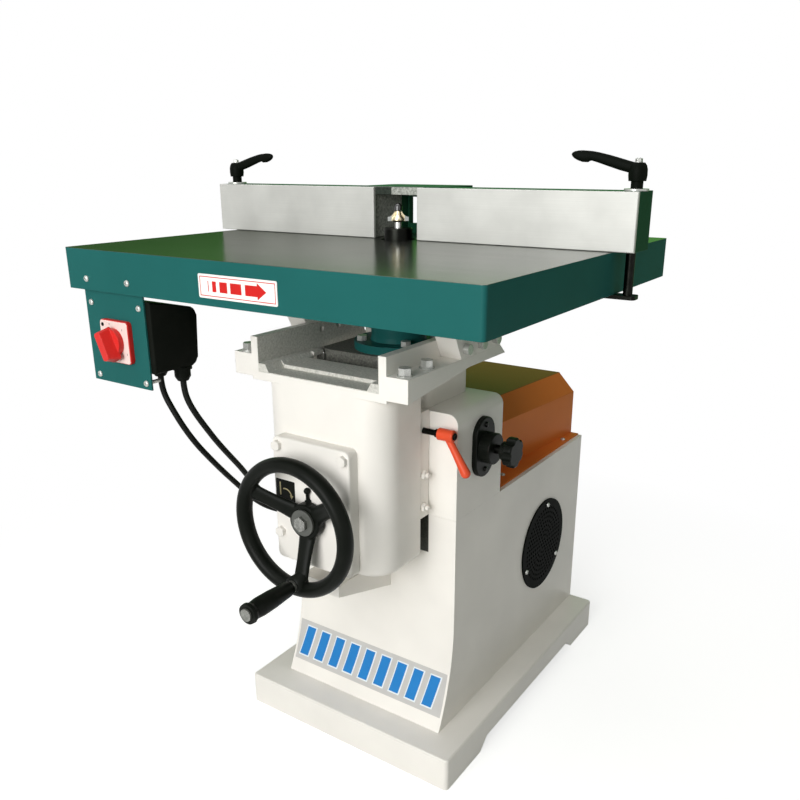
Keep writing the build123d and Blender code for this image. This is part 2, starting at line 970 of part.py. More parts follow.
def make_gear_cover():
    """Deep cover over the gear chamber, with the shaft's bearing boss."""
    cover = block(-cover_half, cover_half, -cover_front, -knee_front, cover_low, cover_high)
    cover = fillet(cover.edges().filter_by(Axis.Y), cover_corner)
    cover = fillet(cover.faces().sort_by(Axis.Y)[0].edges(), cover_edge)
    pocket = block(
        -window_half,
        window_half,
        -cover_front + cover_plate,
        -knee_front + overrun,
        cover_bolt_low - cover_pocket_drop,
        cover_bolt_high - cover_bolt_inset,
    )
    boss_face = -cover_front - cover_boss_depth
    boss = rod_y(cover_boss / 2, 0, boss_face, -cover_front + overrun, wheel_height)
    sleeve = rod_y(cover_boss / 2 - cover_sleeve_step, 0, -cover_front + overrun, -knee_front, wheel_height)
    cover = cover - pocket + boss + sleeve
    cover -= rod_y(shaft_diameter / 2 + run_fit, 0, boss_face - overrun, -knee_front + overrun, wheel_height)
    for x, z in cover_bolt_places():
        radius = cover_bolt["shank"] / 2 + bolt_fit
        cover -= rod_y(radius, x, -cover_front - overrun, -knee_front + overrun, z)
    return cover


def make_gear_cover_bolts():
    """Four hexagon bolts through the cover into the knee."""
    through = dict(cover_bolt, length=cover_bolt["length"] + cover_depth)
    bolt = hex_bolt(**through)
    return group(*[facing(x, -cover_front, z, (0, -1, 0)) * bolt for x, z in cover_bolt_places()])


def make_gib_strip():
    """Gib between the way's right flank and the right cheek."""
    front_y = -way_front
    back_y = -cabinet_front - cheek_gap
    gib_run = gib_thickness / cos(radians(way_flank))
    near = way_half + slide_fit
    run = (back_y - front_y) * flank_run
    far = near + gib_run
    plan = [(near, front_y), (far, front_y), (far - run, back_y), (near - run, back_y)]
    return plan_profile(plan, cheek_bottom, cheek_top)


def gib_outer_x(y):
    """X of the gib's outer flank at a given Y."""
    gib_run = gib_thickness / cos(radians(way_flank))
    return way_half + slide_fit + gib_run - (y + way_front) * flank_run


def make_gib_screws():
    """Adjusting screws with lock nuts in the right cheek."""
    tip = gib_outer_x(lever_y - gib_screw / 2) + face_gap
    screws = []
    for z in gib_screw_zs:
        hexagon = extrude(RegularPolygon(gib_nut / 2, 6), amount=gib_nut_height)
        nut = facing(cheek_half, lever_y, z, (1, 0, 0)) * hexagon
        screws.append(nut + rod_x(gib_screw / 2, tip, cheek_half + gib_screw_out, lever_y, z))
    return group(*screws)


def make_flange_bolts():
    """Hexagon bolts standing on the flanges, each on a washer."""
    washer = rod_z(flange_washer / 2, 0, 0, 0, flange_washer_thick)
    bolt = washer + Pos(0, 0, flange_washer_thick) * hex_bolt(**flange_bolt)
    return group(*[Pos(x, y, flange_top) * bolt for x, y in flange_bolt_places()])


def make_table_brackets():
    """Cast pedestals from the flanges to the table, raked forward."""
    rise = table_under - flange_top
    top_front = bracket_front - bracket_rake * rise
    web = side_profile(
        [
            (bracket_front, flange_top),
            (bracket_rear, flange_top),
            (bracket_rear, table_under),
            (top_front, table_under),
        ],
        tray_outer,
        flange_half,
    )
    foot = block(
        bracket_foot_inner,
        tray_outer + overrun,
        top_front,
        bracket_rear,
        table_under - bracket_foot,
        table_under,
    )
    bracket = web + foot
    for y in bracket_screw_ys:
        z = flange_top + bracket_screw_z
        radius = bracket_screw["shank"] / 2 + bolt_fit
        bracket -= rod_x(radius, tray_outer - overrun, flange_half + overrun, y, z)
    foot_low = table_under - bracket_foot
    for y in table_bolt_ys:
        radius = table_bolt["shank"] / 2 + bolt_fit
        bracket -= rod_z(radius, table_bolt_x(), y, foot_low - overrun, table_under + overrun)
    return group(*mirrored(bracket))


def table_bolt_x():
    """X of the bolts that hold the table to the bracket feet."""
    return bracket_foot_inner + table_bolt_inset


def make_bracket_bolts():
    """Side screws into the tray walls and upright bolts into the table."""
    pieces = []
    for y in bracket_screw_ys:
        screw = facing(flange_half, y, flange_top + bracket_screw_z, (1, 0, 0)) * cap_screw(**bracket_screw)
        pieces += mirrored(screw)
    for y in table_bolt_ys:
        bolt = facing(table_bolt_x(), y, table_under - bracket_foot, (0, 0, -1)) * hex_bolt(**table_bolt)
        pieces += mirrored(bolt)
    return group(*pieces)


def make_table():
    """Ground cast table with a skirt, ribs and a seat for the ring."""
    half = table_length / 2
    top = block(-half, half, table_y0, table_y1, rim_low, table_height)
    top = fillet(top.edges().filter_by(Axis.Z), table_corner)
    hollow = block(
        -half + table_skirt,
        half - table_skirt,
        skirt_inner_y,
        table_y1 - table_skirt,
        rim_low - overrun,
        table_under,
    )
    table = top - hollow
    for y in (rib_front_y, rib_rear_y):
        rib = block(
            -half + table_skirt / 2,
            half - table_skirt / 2,
            y - rib_width / 2,
            y + rib_width / 2,
            table_under - rib_depth,
            table_under + overrun,
        )
        table += rib
    table -= rod_z(ring_diameter / 2 + run_fit, 0, 0, table_height - ring_thickness, table_height + overrun)
    table -= rod_z(ring_diameter / 2 - ring_ledge, 0, 0, table_under - overrun, table_height)
    for y in table_bolt_ys:
        radius = table_bolt["shank"] / 2 + bolt_fit
        hole = rod_z(radius, table_bolt_x(), y, table_under - overrun, table_under + table_bolt_bite)
        for piece in mirrored(hole):
            table -= piece
    for x, z in skirt_screw_places():
        table -= rod_y(small_screw["shank"] / 2 + bolt_fit, x, table_y0 - overrun, skirt_inner_y + overrun, z)
    room = rod_diameter / 2 + clamp_clearance
    for x in clamp_xs:
        front = clamp_y - fence_travel_front - room
        rear = clamp_y + fence_travel_rear + room
        table -= block(x - room, x + room, front, rear, rim_low - overrun, table_height + overrun)
    return table


def skirt_screw_places():
    """(X, Z) of the screws that hold the switch panel to the skirt."""
    z = rim_low + panel_overlap / 2
    left = panel_left + skirt_screw_inset
    return [(left, z), (left + skirt_screw_pitch, z)]


def make_table_ring():
    """Loose ring round the spindle, flush with the table."""
    outer = ring_diameter / 2 - run_fit
    low = table_height - ring_thickness
    opening = rod_z(ring_bore / 2, 0, 0, low - overrun, table_height + overrun)
    return rod_z(outer, 0, 0, low, table_height) - opening


def panel_screw_places():
    """(X, Z) of the switch panel's corner screws."""
    xs = (panel_left + panel_screw_inset, panel_right - panel_screw_inset)
    return [(x, z) for x in xs for z in (panel_low + panel_screw_low, rim_low - panel_screw_high)]


def make_switch_panel():
    """Sheet hung behind the skirt, with the switch in it."""
    panel = block(panel_left, panel_right, skirt_inner_y, panel_y, panel_low, rim_low + panel_overlap)
    panel -= rod_y(switch_neck / 2, switch_x, skirt_inner_y - overrun, panel_y + overrun, switch_z)
    for x, z in panel_screw_places() + skirt_screw_places():
        panel -= rod_y(small_screw["shank"] / 2 + bolt_fit, x, skirt_inner_y - overrun, panel_y + overrun, z)
    return panel


def make_panel_screws():
    """Corner screws of the panel and the two in the skirt."""
    screws = []
    long_screw = dict(small_screw, length=panel_screw_length)
    for x, z in panel_screw_places():
        low = z < switch_box_low
        kind = long_screw if low else dict(small_screw, length=panel_sheet)
        screws.append(facing(x, skirt_inner_y, z, (0, -1, 0)) * cap_screw(**kind))
    skirt_screw = dict(small_screw, length=table_skirt + panel_sheet)
    for x, z in skirt_screw_places():
        screws.append(facing(x, table_y0, z, (0, -1, 0)) * cap_screw(**skirt_screw))
    return group(*screws)


def make_switch_box():
    """Moulded enclosure behind the panel."""
    back = panel_y + switch_box_depth
    outline = [
        (panel_y, switch_box_low),
        (back, switch_box_low),
        (back, switch_box_high - switch_box_fall),
        (panel_y, switch_box_high),
    ]
    box = side_profile(outline, switch_box_left, switch_box_right)
    rear = box.faces().sort_by(Axis.Y)[-1].edges()
    return fillet(rear, switch_box_round)


def make_switch_plate():
    """Square plate of the rotary switch, with its threaded neck through the panel."""
    half = switch_plate / 2
    front = skirt_inner_y - switch_plate_thick
    plate = block(switch_x - half, switch_x + half, front, skirt_inner_y, switch_z - half, switch_z + half)
    plate = fillet(plate.edges().filter_by(Axis.Y), switch_plate_corner)
    plate = fillet(plate.faces().sort_by(Axis.Y)[0].edges(), switch_plate_edge)
    neck = rod_y(switch_neck / 2 - bolt_fit, switch_x, skirt_inner_y - overrun, panel_y, switch_z)
    seat_end = skirt_inner_y - switch_seat
    seat = rod_y(switch_spindle / 2 + run_fit, switch_x, front - overrun, seat_end, switch_z)
    return plate + neck - seat


def make_switch_knob():
    """Rotary handle: round skirt and a tapered grip bar, on its spindle."""
    front = skirt_inner_y - switch_plate_thick - face_gap
    base_front_y = front - knob_base_height
    base = rod_y(knob_base / 2, switch_x, base_front_y, front, switch_z)
    faces = []
    for y, size in ((base_front_y + bar_sink, bar_root), (base_front_y - bar_height, bar_crest)):
        place = Plane(origin=(0, y, -bar_drop), x_dir=(1, 0, 0), z_dir=(0, -1, 0))
        faces.append(place * RectangleRounded(*size, bar_round))
    bar = Pos(switch_x, 0, switch_z) * Rot(0, bar_turn, 0) * loft(faces)
    seat_end = skirt_inner_y - switch_seat
    spindle = rod_y(switch_spindle / 2, switch_x, front - overrun, seat_end - overrun, switch_z)
    return base + bar + spindle


def make_cable_glands():
    """Two glands under the switch box."""
    radius = gland_diameter / 2
    nut_radius = radius + gland_nut_step
    nut_low = gland_length - gland_nut
    body = turned(
        [
            (0, 0),
            (radius - gland_tip_step, 0),
            (radius, gland_taper),
            (radius, nut_low),
            (nut_radius, nut_low),
            (nut_radius, gland_length),
            (0, gland_length),
        ]
    )
    return group(*[Pos(x, gland_y, switch_box_low - gland_length) * body for x in gland_xs])


def make_cable_boots():
    """Two slanted rubber boots on the cabinet's left side, with necks through the sheet."""
    boots = []
    for points, seat in zip(cable_runs(), boot_seats()):
        face = points[-1]
        reach = 2 * boot_diameter
        section = Plane(origin=face, z_dir=boot_axis(points)) * Circle(boot_diameter / 2)
        sleeve = extrude(section, amount=2 * reach)
        outside = block(
            face.X - reach,
            -cabinet_half,
            face.Y - reach,
            seat.Y + reach,
            face.Z - reach,
            face.Z + reach,
        )
        neck_end = -cabinet_half + boot_neck_length
        neck = rod_x(boot_neck / 2, -cabinet_half - boot_neck_lap, neck_end, seat.Y, seat.Z)
        boots.append((sleeve & outside) + neck)
    return group(*boots)


def make_cable(points):
    """Round cable from a gland to a boot, along straight runs and wide arcs."""
    radii = []
    for before, here, after in zip(points, points[1:], points[2:]):
        turn = radians((here - before).get_angle(after - here))
        shorter = min((here - before).length, (after - here).length)
        radii.append(cable_ease * shorter / tan(turn / 2))
    path = FilletPolyline(*points, radius=radii)
    section = Plane(origin=path @ 0, z_dir=path % 0) * Circle(cable_diameter / 2)
    return sweep(section, path=path)


def bevel_wheel(teeth, mate_teeth, hub_radius, hub_length, bore):
    """Straight bevel wheel on Z, apex at the origin, large end at the bottom."""
    radius = gear_module * teeth / 2
    depth = gear_module * mate_teeth / 2
    cone = sqrt(radius**2 + depth**2)
    shrink = 1.0 - gear_face / cone
    dedendum = tooth_dedendum * gear_module
    addendum = tooth_addendum * gear_module
    out_r = depth / cone
    out_z = radius / cone
    root_r = radius - dedendum * out_r
    root_z = -depth - dedendum * out_z
    blank = turned(
        [
            (0, root_z - hub_length),
            (hub_radius, root_z - hub_length),
            (hub_radius, root_z - gear_back),
            (root_r - gear_back_bevel, root_z - gear_back),
            (root_r, root_z),
            (root_r * shrink, root_z * shrink),
            (0, root_z * shrink),
        ]
    )

    def tooth_end(scale):
        pitch = pi * gear_module
        low_half = tooth_share * pitch * tooth_root_share / 2
        tip_half = tooth_share * pitch * tooth_tip_share / 2
        low_r = (radius - (dedendum + tooth_sink) * out_r) * scale
        low_z = (-depth - (dedendum + tooth_sink) * out_z) * scale
        tip_r = (radius + addendum * out_r) * scale
        tip_z = (-depth + addendum * out_z) * scale
        corners = [
            (low_r, -low_half * scale, low_z),
            (tip_r, -tip_half * scale, tip_z),
            (tip_r, tip_half * scale, tip_z),
            (low_r, low_half * scale, low_z),
        ]
        return make_face(Polyline(*corners, close=True))

    tooth = loft([tooth_end(1.0), tooth_end(shrink)], ruled=True)
    ring = [Rot(0, 0, 360.0 * k / teeth) * tooth for k in range(teeth)]
    return blank.fuse(*ring) - rod_z(bore / 2, 0, 0, root_z - hub_length - overrun, overrun)


def make_bevel_pinion():
    """Pinion on the handwheel shaft, a tooth gap at the top where it meets the gear."""
    wheel = bevel_wheel(pinion_teeth, gear_teeth, pinion_hub / 2, pinion_hub_length, shaft_diameter)
    half_pitch = 180.0 / pinion_teeth
    return Pos(0, screw_y, wheel_height) * Rot(-90, 0, 0) * Rot(0, 0, 90 + half_pitch) * wheel


def make_gear_nut():
    """Bevel gear with the nut for the elevating screw, under the thrust shelf."""
    bore = screw_diameter + 2 * run_fit
    wheel = bevel_wheel(gear_teeth, pinion_teeth, nut_hub / 2, overrun, bore)
    wheel = Pos(0, screw_y, wheel_height) * Rot(180, 0, 0) * Rot(0, 0, 90) * wheel
    hub = rod_z(nut_hub / 2, 0, screw_y, gear_plane + gear_back, nut_top)
    return wheel + hub - rod_z(bore / 2, 0, screw_y, gear_plane - nut_lead_in, nut_top + overrun)


def make_handwheel_shaft():
    """Shaft from the handwheel to the pinion."""
    inner_end = screw_y - screw_diameter / 2 - shaft_end_room
    return rod_y(shaft_diameter / 2, 0, -hub_front, inner_end, wheel_height)


def make_handwheel():
    """Dished three-spoke wheel with a boss for the handle."""
    rim = Pos(0, rim_y, wheel_height) * Rot(90, 0, 0) * Torus(wheel_rim, wheel_tube)
    hub = rod_y(wheel_hub / 2, 0, -hub_front, -hub_back, wheel_height)
    hub = fillet(hub.edges().group_by(Axis.Y)[0], wheel_hub_round)
    wheel = rim + hub
    hub_y = -(hub_back + hub_front) / 2
    for k in range(wheel_spokes):
        angle = radians(wheel_spoke_angle + k * 360.0 / wheel_spokes)
        outward = Vector(cos(angle), 0, sin(angle))
        across = Vector(-sin(angle), 0, cos(angle))
        root = Vector(0, hub_y, wheel_height) + outward * (wheel_hub / 2 - spoke_lap)
        tip = Vector(0, rim_y, wheel_height) + outward * wheel_rim
        along = tip - root
        faces = []
        for place, (width, depth) in ((root, spoke_root), ((root + tip) / 2, spoke_waist), (tip, spoke_tip)):
            faces.append(Plane(origin=place, x_dir=across, z_dir=along) * Ellipse(width / 2, depth / 2))
        wheel += loft(faces)
    wheel += rod_y(handle_boss / 2, handle_x, handle_root, rim_y + handle_boss_depth, handle_z)
    wheel -= rod_y(shaft_diameter / 2, 0, -hub_front - overrun, -hub_back + overrun, wheel_height)
    return wheel - rod_y(handle_axle / 2, handle_x, handle_root - overrun, rim_y + axle_bite, handle_z)


def make_hub_bolt():
    """Washer and bolt in the end of the handwheel shaft."""
    face = -hub_front - hub_washer_thick
    washer = rod_y(hub_washer / 2, 0, face, -hub_front, wheel_height)
    hexagon = extrude(RegularPolygon(hub_hex / 2, 6, major_radius=False), amount=hub_hex_height)
    return washer + facing(0, face, wheel_height, (0, -1, 0)) * hexagon


def make_handle_axle():
    """Bolt that carries the turning grip, with a collar and an end cap."""
    grip_end = grip_start - handle_length
    cap_back = grip_end - face_gap
    axle = rod_y(handle_axle / 2, handle_x, grip_end - overrun, rim_y + axle_bite, handle_z)
    collar = rod_y(axle_collar / 2, handle_x, grip_start, handle_root, handle_z)
    cap = rod_y(axle_cap / 2, handle_x, cap_back - axle_cap_length, cap_back, handle_z)
    return axle + collar + cap


def make_handle_grip():
    """Tapered turning grip with a flared end."""
    bore = handle_axle / 2 + run_fit
    length = handle_length - face_gap
    outline = [(radius, share * length) for radius, share in grip_profile]
    grip = turned([(bore, 0)] + outline + [(bore, length)])
    return Pos(handle_x, grip_start - face_gap, handle_z) * Rot(90, 0, 0) * grip


def make_spindle_housing():
    """Flanged barrel in the neck, with bearing seats at both ends."""
    flange_high = neck_top + housing_flange_thick
    body = turned(
        [
            (0, housing_low),
            (housing_barrel / 2, housing_low),
            (housing_barrel / 2, neck_top),
            (housing_flange / 2, neck_top),
            (housing_flange / 2, flange_high),
            (housing_barrel / 2 + housing_root, flange_high),
            (housing_barrel / 2, flange_high + housing_root_rise),
            (housing_barrel / 2, housing_top - housing_bevel),
            (housing_barrel / 2 - housing_bevel, housing_top),
            (0, housing_top),
        ]
    )
    body -= rod_z(shaft_main / 2 + housing_room, 0, 0, housing_low - overrun, housing_top + overrun)
    for z0, z1 in bearing_spans():
        body -= rod_z(bearing_outer / 2 + run_fit, 0, 0, z0, z1)
    body -= rod_z(bearing_outer / 2 + run_fit, 0, 0, housing_low - overrun, housing_low + overrun)
    body -= rod_z(bearing_outer / 2 + run_fit, 0, 0, housing_top - overrun, housing_top + overrun)
    for place in housing_bolt_places():
        radius = housing_bolt["shank"] / 2 + bolt_fit
        body -= place * rod_z(radius, 0, 0, -housing_flange_thick - overrun, overrun)
    return body


def bearing_spans():
    """(low, high) of the lower and the upper bearing."""
    return [(housing_low, housing_low + bearing_width), (housing_top - bearing_width, housing_top)]


def make_spindle_bearings():
    """Two ball bearings, as plain rings."""
    rings = []
    for z0, z1 in bearing_spans():
        ring = rod_z(bearing_outer / 2, 0, 0, z0, z1)
        rings.append(ring - rod_z(shaft_main / 2 + run_fit, 0, 0, z0 - overrun, z1 + overrun))
    return group(*rings)


def make_housing_bolts():
    """Bolts of the spindle housing flange."""
    return group(*[place * hex_bolt(**housing_bolt) for place in housing_bolt_places()])


def make_spindle_shaft():
    """Spindle with a nose for the chuck."""
    nose_top = chuck_bore_top - overrun
    return turned(
        [
            (0, shaft_low),
            (shaft_main / 2 - shaft_bevel, shaft_low),
            (shaft_main / 2, shaft_low + shaft_bevel),
            (shaft_main / 2, chuck_low),
            (nose_diameter / 2, chuck_low),
            (nose_diameter / 2, nose_top),
            (0, nose_top),
        ]
    )


def make_spindle_chuck():
    """Collet chuck standing through the table."""
    body = rod_z(chuck_diameter / 2, 0, 0, chuck_low, chuck_top)
    body = fillet(body.edges().group_by(Axis.Z)[-1], chuck_edge)
    body -= rod_z(nose_diameter / 2, 0, 0, chuck_low - overrun, chuck_bore_top)
    return body - rod_z(bit_shank / 2, 0, 0, chuck_bore_top - overrun, chuck_top + overrun)


def make_cutter_bit():
    """Two-winged moulding cutter: shank, core and curved wings."""
    low = chuck_top + bit_rise
    high = low + bit_height
    foot = chuck_bore_top + bit_seat
    core = turned(
        [
            (0, foot),
            (bit_shank / 2, foot),
            (bit_shank / 2, low - overrun),
            (bit_core - bit_foot, low),
            (bit_core, low + bit_foot),
            (bit_core, low + 0.3 * bit_height),
            (0.55 * bit_core, low + 0.62 * bit_height),
            (0.38 * bit_core, high),
            (0, high),
        ]
    )
    root = 0.3 * bit_core
    edge = Line((root, low + overrun), (bit_radius, low + overrun))
    side = Line(edge @ 1, (bit_radius, low + 0.42 * bit_height))
    cove = RadiusArc(side @ 1, (0.6 * bit_core, high - 2 * overrun), 0.75 * bit_height)
    close = Polyline(cove @ 1, (root, high - 2 * overrun), edge @ 0)
    wing_face = make_face([edge, side, cove, close])
    wing = extrude(Plane.XZ * wing_face, amount=wing_thickness / 2, both=True)
    return Rot(0, 0, bit_turn) * (core + wing + Rot(0, 0, 180) * wing)


def make_cutter_nut():
    """Domed end nut on the cutter."""
    low = chuck_top + bit_rise + bit_height
    rim = low + end_nut_height
    radius = end_nut / 2
    dome = Pos(0, 0, rim) * Sphere(radius)
    upper = block(-end_nut, end_nut, -end_nut, end_nut, rim, rim + end_nut)
    return rod_z(radius, 0, 0, low, rim) + (dome & upper)


def pulley(outer, x, y, bore):
    """Flat pulley with rims, the belt running between them."""
    high = pulley_low + pulley_width
    face = outer / 2
    wheel = rod_z(face, x, y, pulley_low, high)
    for z0 in (pulley_low, high - pulley_rim):
        wheel += rod_z(face + belt_thickness + overrun, x, y, z0, z0 + pulley_rim)
    return wheel - rod_z(bore / 2, x, y, pulley_low - overrun, high + overrun)


def make_spindle_pulley():
    """Spindle pulley with the ring that the lock plunger enters."""
    wheel = pulley(spindle_pulley_diameter, 0, 0, shaft_main)
    high = lock_ring_low + lock_ring_width
    ring = rod_z(lock_ring / 2, 0, 0, lock_ring_low, high)
    neck_low = pulley_low + pulley_width - overrun
    neck = rod_z(shaft_main / 2 + lock_neck_wall, 0, 0, neck_low, lock_ring_low + overrun)
    body = wheel + neck + ring - rod_z(shaft_main / 2, 0, 0, pulley_low - overrun, high + overrun)
    outer = lock_ring / 2
    hole = rod_x(plunger_tip / 2 + lock_hole_fit, outer - lock_hole_depth, outer + overrun, lock_y, lock_z)
    for k in range(lock_holes):
        body -= Rot(0, 0, 360.0 * k / lock_holes) * hole
    return body


def make_motor_shaft():
    """Motor shaft up into the pulley."""
    low = cabinet_top - motor_length + motor_shaft_foot
    return rod_z(motor_shaft_diameter / 2, 0, motor_y, low, pulley_low + pulley_width + motor_shaft_stub)


def make_motor_pulley():
    """Larger pulley on the motor shaft."""
    return pulley(motor_pulley_diameter, 0, motor_y, motor_shaft_diameter)


def make_motor_body():
    """Upright motor hanging under its plate, with cooling fins."""
    low = cabinet_top - motor_length
    radius = motor_diameter / 2
    half = fin_thickness / 2
    body = rod_z(radius - fin_root, 0, motor_y, low, cabinet_top)
    fin = block(-half, half, radius - fin_depth, radius, low + fin_low, cabinet_top - fin_high)
    for k in range(motor_fins):
        body += Pos(0, motor_y, 0) * Rot(0, 0, 360.0 * k / motor_fins) * fin
    body += rod_z(radius, 0, motor_y, cabinet_top - motor_flange, cabinet_top)
    body += rod_z(radius - motor_tail_step, 0, motor_y, low, low + motor_tail)
    bore_low = low + motor_shaft_foot - motor_shaft_room
    return body - rod_z(motor_shaft_diameter / 2 + run_fit, 0, motor_y, bore_low, cabinet_top + overrun)


def make_motor_plate():
    """Plate across the cabinet's top that carries the motor."""
    half = motor_plate_half
    high = cabinet_top + motor_plate_thick
    plate = block(-half, half, motor_y - half, motor_y + half, cabinet_top, high)
    plate = fillet(plate.edges().filter_by(Axis.Z), motor_plate_corner)
    return plate - rod_z(motor_plate_hole / 2, 0, motor_y, cabinet_top - overrun, high + overrun)


def belt_loop(extra, z0, z1):
    """Solid bounded by two pulleys' radii and their outer tangents."""
    small = spindle_pulley_diameter / 2 + extra
    large = motor_pulley_diameter / 2 + extra
    lean = (large - small) / motor_y
    side = sqrt(1 - lean**2)
    hull = plan_profile(
        [
            (-small * side, -small * lean),
            (small * side, -small * lean),
            (large * side, motor_y - large * lean),
            (-large * side, motor_y - large * lean),
        ],
        z0,
        z1,
    )
    return hull + rod_z(small, 0, 0, z0, z1) + rod_z(large, 0, motor_y, z0, z1)


def make_drive_belt():
    """Flat belt round both pulleys."""
    mid = pulley_low + pulley_width / 2
    z0 = mid - belt_width / 2
    z1 = mid + belt_width / 2
    return belt_loop(face_gap + belt_thickness, z0, z1) - belt_loop(face_gap, z0 - overrun, z1 + overrun)


def hood_section(half, inset, low):
    """Folded section of the belt cover, chamfered along the top."""
    bottom = half - inset
    top = half - hood_chamfer - hood_fold * inset
    shoulder = cabinet_top + hood_shoulder - hood_fold * inset
    high = cabinet_top + hood_height - inset
    right = [(bottom, low), (bottom, shoulder), (top, high)]
    return right + [(-x, z) for x, z in reversed(right)]


def hood_solid(inset, y0, y1):
    """Tapered block between two folded sections."""
    low = cabinet_top - (overrun if inset else 0.0)
    slope = (hood_rear_half - hood_front_half) / (cabinet_rear - frame_rear)
    faces = []
    for y in (y0, y1):
        half = hood_front_half + slope * (y - frame_rear)
        corners = [(x, y, z) for x, z in hood_section(half, inset, low)]
        faces.append(make_face(Polyline(*corners, close=True)))
    return loft(faces, ruled=True)


def make_motor_cover():
    """Folded sheet cover over belt and motor, with a screwed flange."""
    shell = hood_solid(0.0, frame_rear, cabinet_rear)
    flange = block(
        -hood_flange,
        hood_flange,
        frame_rear,
        cabinet_rear,
        cabinet_top,
        cabinet_top + hood_sheet,
    )
    cover = shell + flange - hood_solid(hood_sheet, frame_rear - overrun, cabinet_rear - hood_sheet)
    for x, y in hood_screw_places():
        radius = small_screw["shank"] / 2 + bolt_fit
        cover -= rod_z(radius, x, y, cabinet_top - overrun, cabinet_top + hood_sheet + overrun)
    return cover


def hood_screw_places():
    """(X, Y) of the screws in the cover's flange."""
    slope = (hood_rear_half - hood_front_half) / (cabinet_rear - frame_rear)
    places = []
    for y in hood_screw_ys:
        half = hood_front_half + slope * (y - frame_rear)
        places += [(sx * (half + hood_flange) / 2, y) for sx in (-1, 1)]
    return places


def vent_screw_places():
    """(Y, Z) of the vent's screws."""
    radius = vent_screw_circle / 2
    angles = [radians(vent_screw_angle + 360.0 * k / vent_screws) for k in range(vent_screws)]
    return [(vent_y + radius * cos(a), vent_z + radius * sin(a)) for a in angles]


def lock_screw_places():
    """(Y, Z) of the lock plate's two screws."""
    return [(lock_y, lock_z + s * lock_screw_pitch / 2) for s in (-1, 1)]


def make_cabinet_screws():
    """Screws of the belt cover, the vent and the spindle lock."""
    screws = []
    into_sheet = dict(small_screw, length=hood_sheet)
    for x, y in hood_screw_places():
        screws.append(Pos(x, y, cabinet_top + hood_sheet) * cap_screw(**into_sheet))
    into_vent = dict(small_screw, length=vent_thickness)
    for y, z in vent_screw_places():
        screws.append(facing(cabinet_half + vent_thickness, y, z, (1, 0, 0)) * cap_screw(**into_vent))
    width, height = lock_screw_head
    into_lock = dict(small_screw, diameter=width, head=height, length=lock_plate_thick)
    for y, z in lock_screw_places():
        screws.append(facing(lock_face, y, z, (1, 0, 0)) * cap_screw(**into_lock))
    return group(*screws)


def make_vent_grille():
    """Round perforated guard over the vent, holes in rings."""
    face = cabinet_half + vent_thickness
    disc = rod_x(vent_diameter / 2, cabinet_half, face, vent_y, vent_z)
    places = [(vent_y, vent_z)]
    for row in range(1, vent_rows + 1):
        count = 6 * row
        for k in range(count):
            angle = 2 * pi * k / count
            places.append((vent_y + row * vent_pitch * cos(angle), vent_z + row * vent_pitch * sin(angle)))
    radii = [vent_perforation / 2] * len(places)
    places += vent_screw_places()
    radii += [small_screw["shank"] / 2 + bolt_fit] * vent_screws
    holes = []
    for (y, z), radius in zip(places, radii):
        holes.append(rod_x(radius, cabinet_half - overrun, face + overrun, y, z))
    return disc.cut(*holes)


def make_lock_flange():
    """Oval plate with the guide boss of the spindle lock."""
    straight = lock_plate_height - lock_plate_width
    outline = SlotCenterToCenter(straight, lock_plate_width, rotation=90)
    plate = Plane(origin=(cabinet_half, lock_y, lock_z), x_dir=(0, 1, 0), z_dir=(1, 0, 0)) * outline
    body = extrude(plate, amount=lock_plate_thick)
    body = fillet(body.faces().sort_by(Axis.X)[-1].edges(), lock_plate_edge)
    boss_end = lock_face + lock_boss_length
    inside = cabinet_half - overrun
    boss = rod_x(lock_boss / 2, lock_face - overrun, boss_end, lock_y, lock_z)
    body += fillet(boss.edges().group_by(Axis.X)[-1], lock_plate_edge)
    body -= rod_x(plunger_diameter / 2 + run_fit, inside, boss_end + overrun, lock_y, lock_z)
    for y, z in lock_screw_places():
        body -= rod_x(small_screw["shank"] / 2 + bolt_fit, inside, lock_face + overrun, y, z)
    return body


def make_lock_knob():
    """Lobed push knob."""
    front = knob_back + knob_length
    body = rod_x(knob_diameter / 2, knob_back, front, lock_y, lock_z)
    body = fillet(body.edges().filter_by(GeomType.CIRCLE), knob_edge)
    reach = knob_diameter / 2 + knob_flute_out
    for k in range(knob_lobes):
        angle = 2 * pi * k / knob_lobes
        y = lock_y + reach * cos(angle)
        z = lock_z + reach * sin(angle)
        body -= rod_x(knob_flute, knob_back - overrun, front + overrun, y, z)
    body += rod_x(knob_neck / 2, neck_back, knob_back + overrun, lock_y, lock_z)
    return body - rod_x(plunger_diameter / 2, neck_back - overrun, knob_back + plunger_seat, lock_y, lock_z)


def make_lock_plunger():
    """Plunger from the knob to the lock ring, turned down at the tip."""
    end = lock_ring / 2 + plunger_rest_gap
    shoulder = end + plunger_tip_length
    stem = rod_x(plunger_diameter / 2, shoulder, knob_back + plunger_seat, lock_y, lock_z)
    return stem + rod_x(plunger_tip / 2, end, shoulder, lock_y, lock_z)


def make_lock_stud():
    """Stud that tightens the gib, with a collar at the lever."""
    tip = gib_outer_x(lever_y - stud_diameter / 2) + face_gap
    out = cheek_half + stud_out
    stud = rod_x(stud_diameter / 2, tip, out + stud_bite, lever_y, lever_z)
    return stud + rod_x(stud_diameter / 2 + stud_collar_step, out - stud_collar_length, out, lever_y, lever_z)


def make_lock_lever():
    """Cranked clamping lever on the stud."""
    x0 = cheek_half + stud_out
    x1 = x0 + lever_hub_length
    hub = rod_x(lever_hub / 2, x0, x1, lever_y, lever_z)
    hub = fillet(hub.edges().group_by(Axis.X)[-1], lever_hub_round)
    lean = radians(lever_lean)
    along = Vector(sin(lean), 0, -cos(lean))
    root = Vector((x0 + x1) / 2, lever_y, lever_z)
    lever = hub + tapered_arm(root, along, lever_arm, lever_girths)
    return lever - rod_x(stud_diameter / 2, x0 - overrun, x0 + stud_bite + stud_bore_room, lever_y, lever_z)


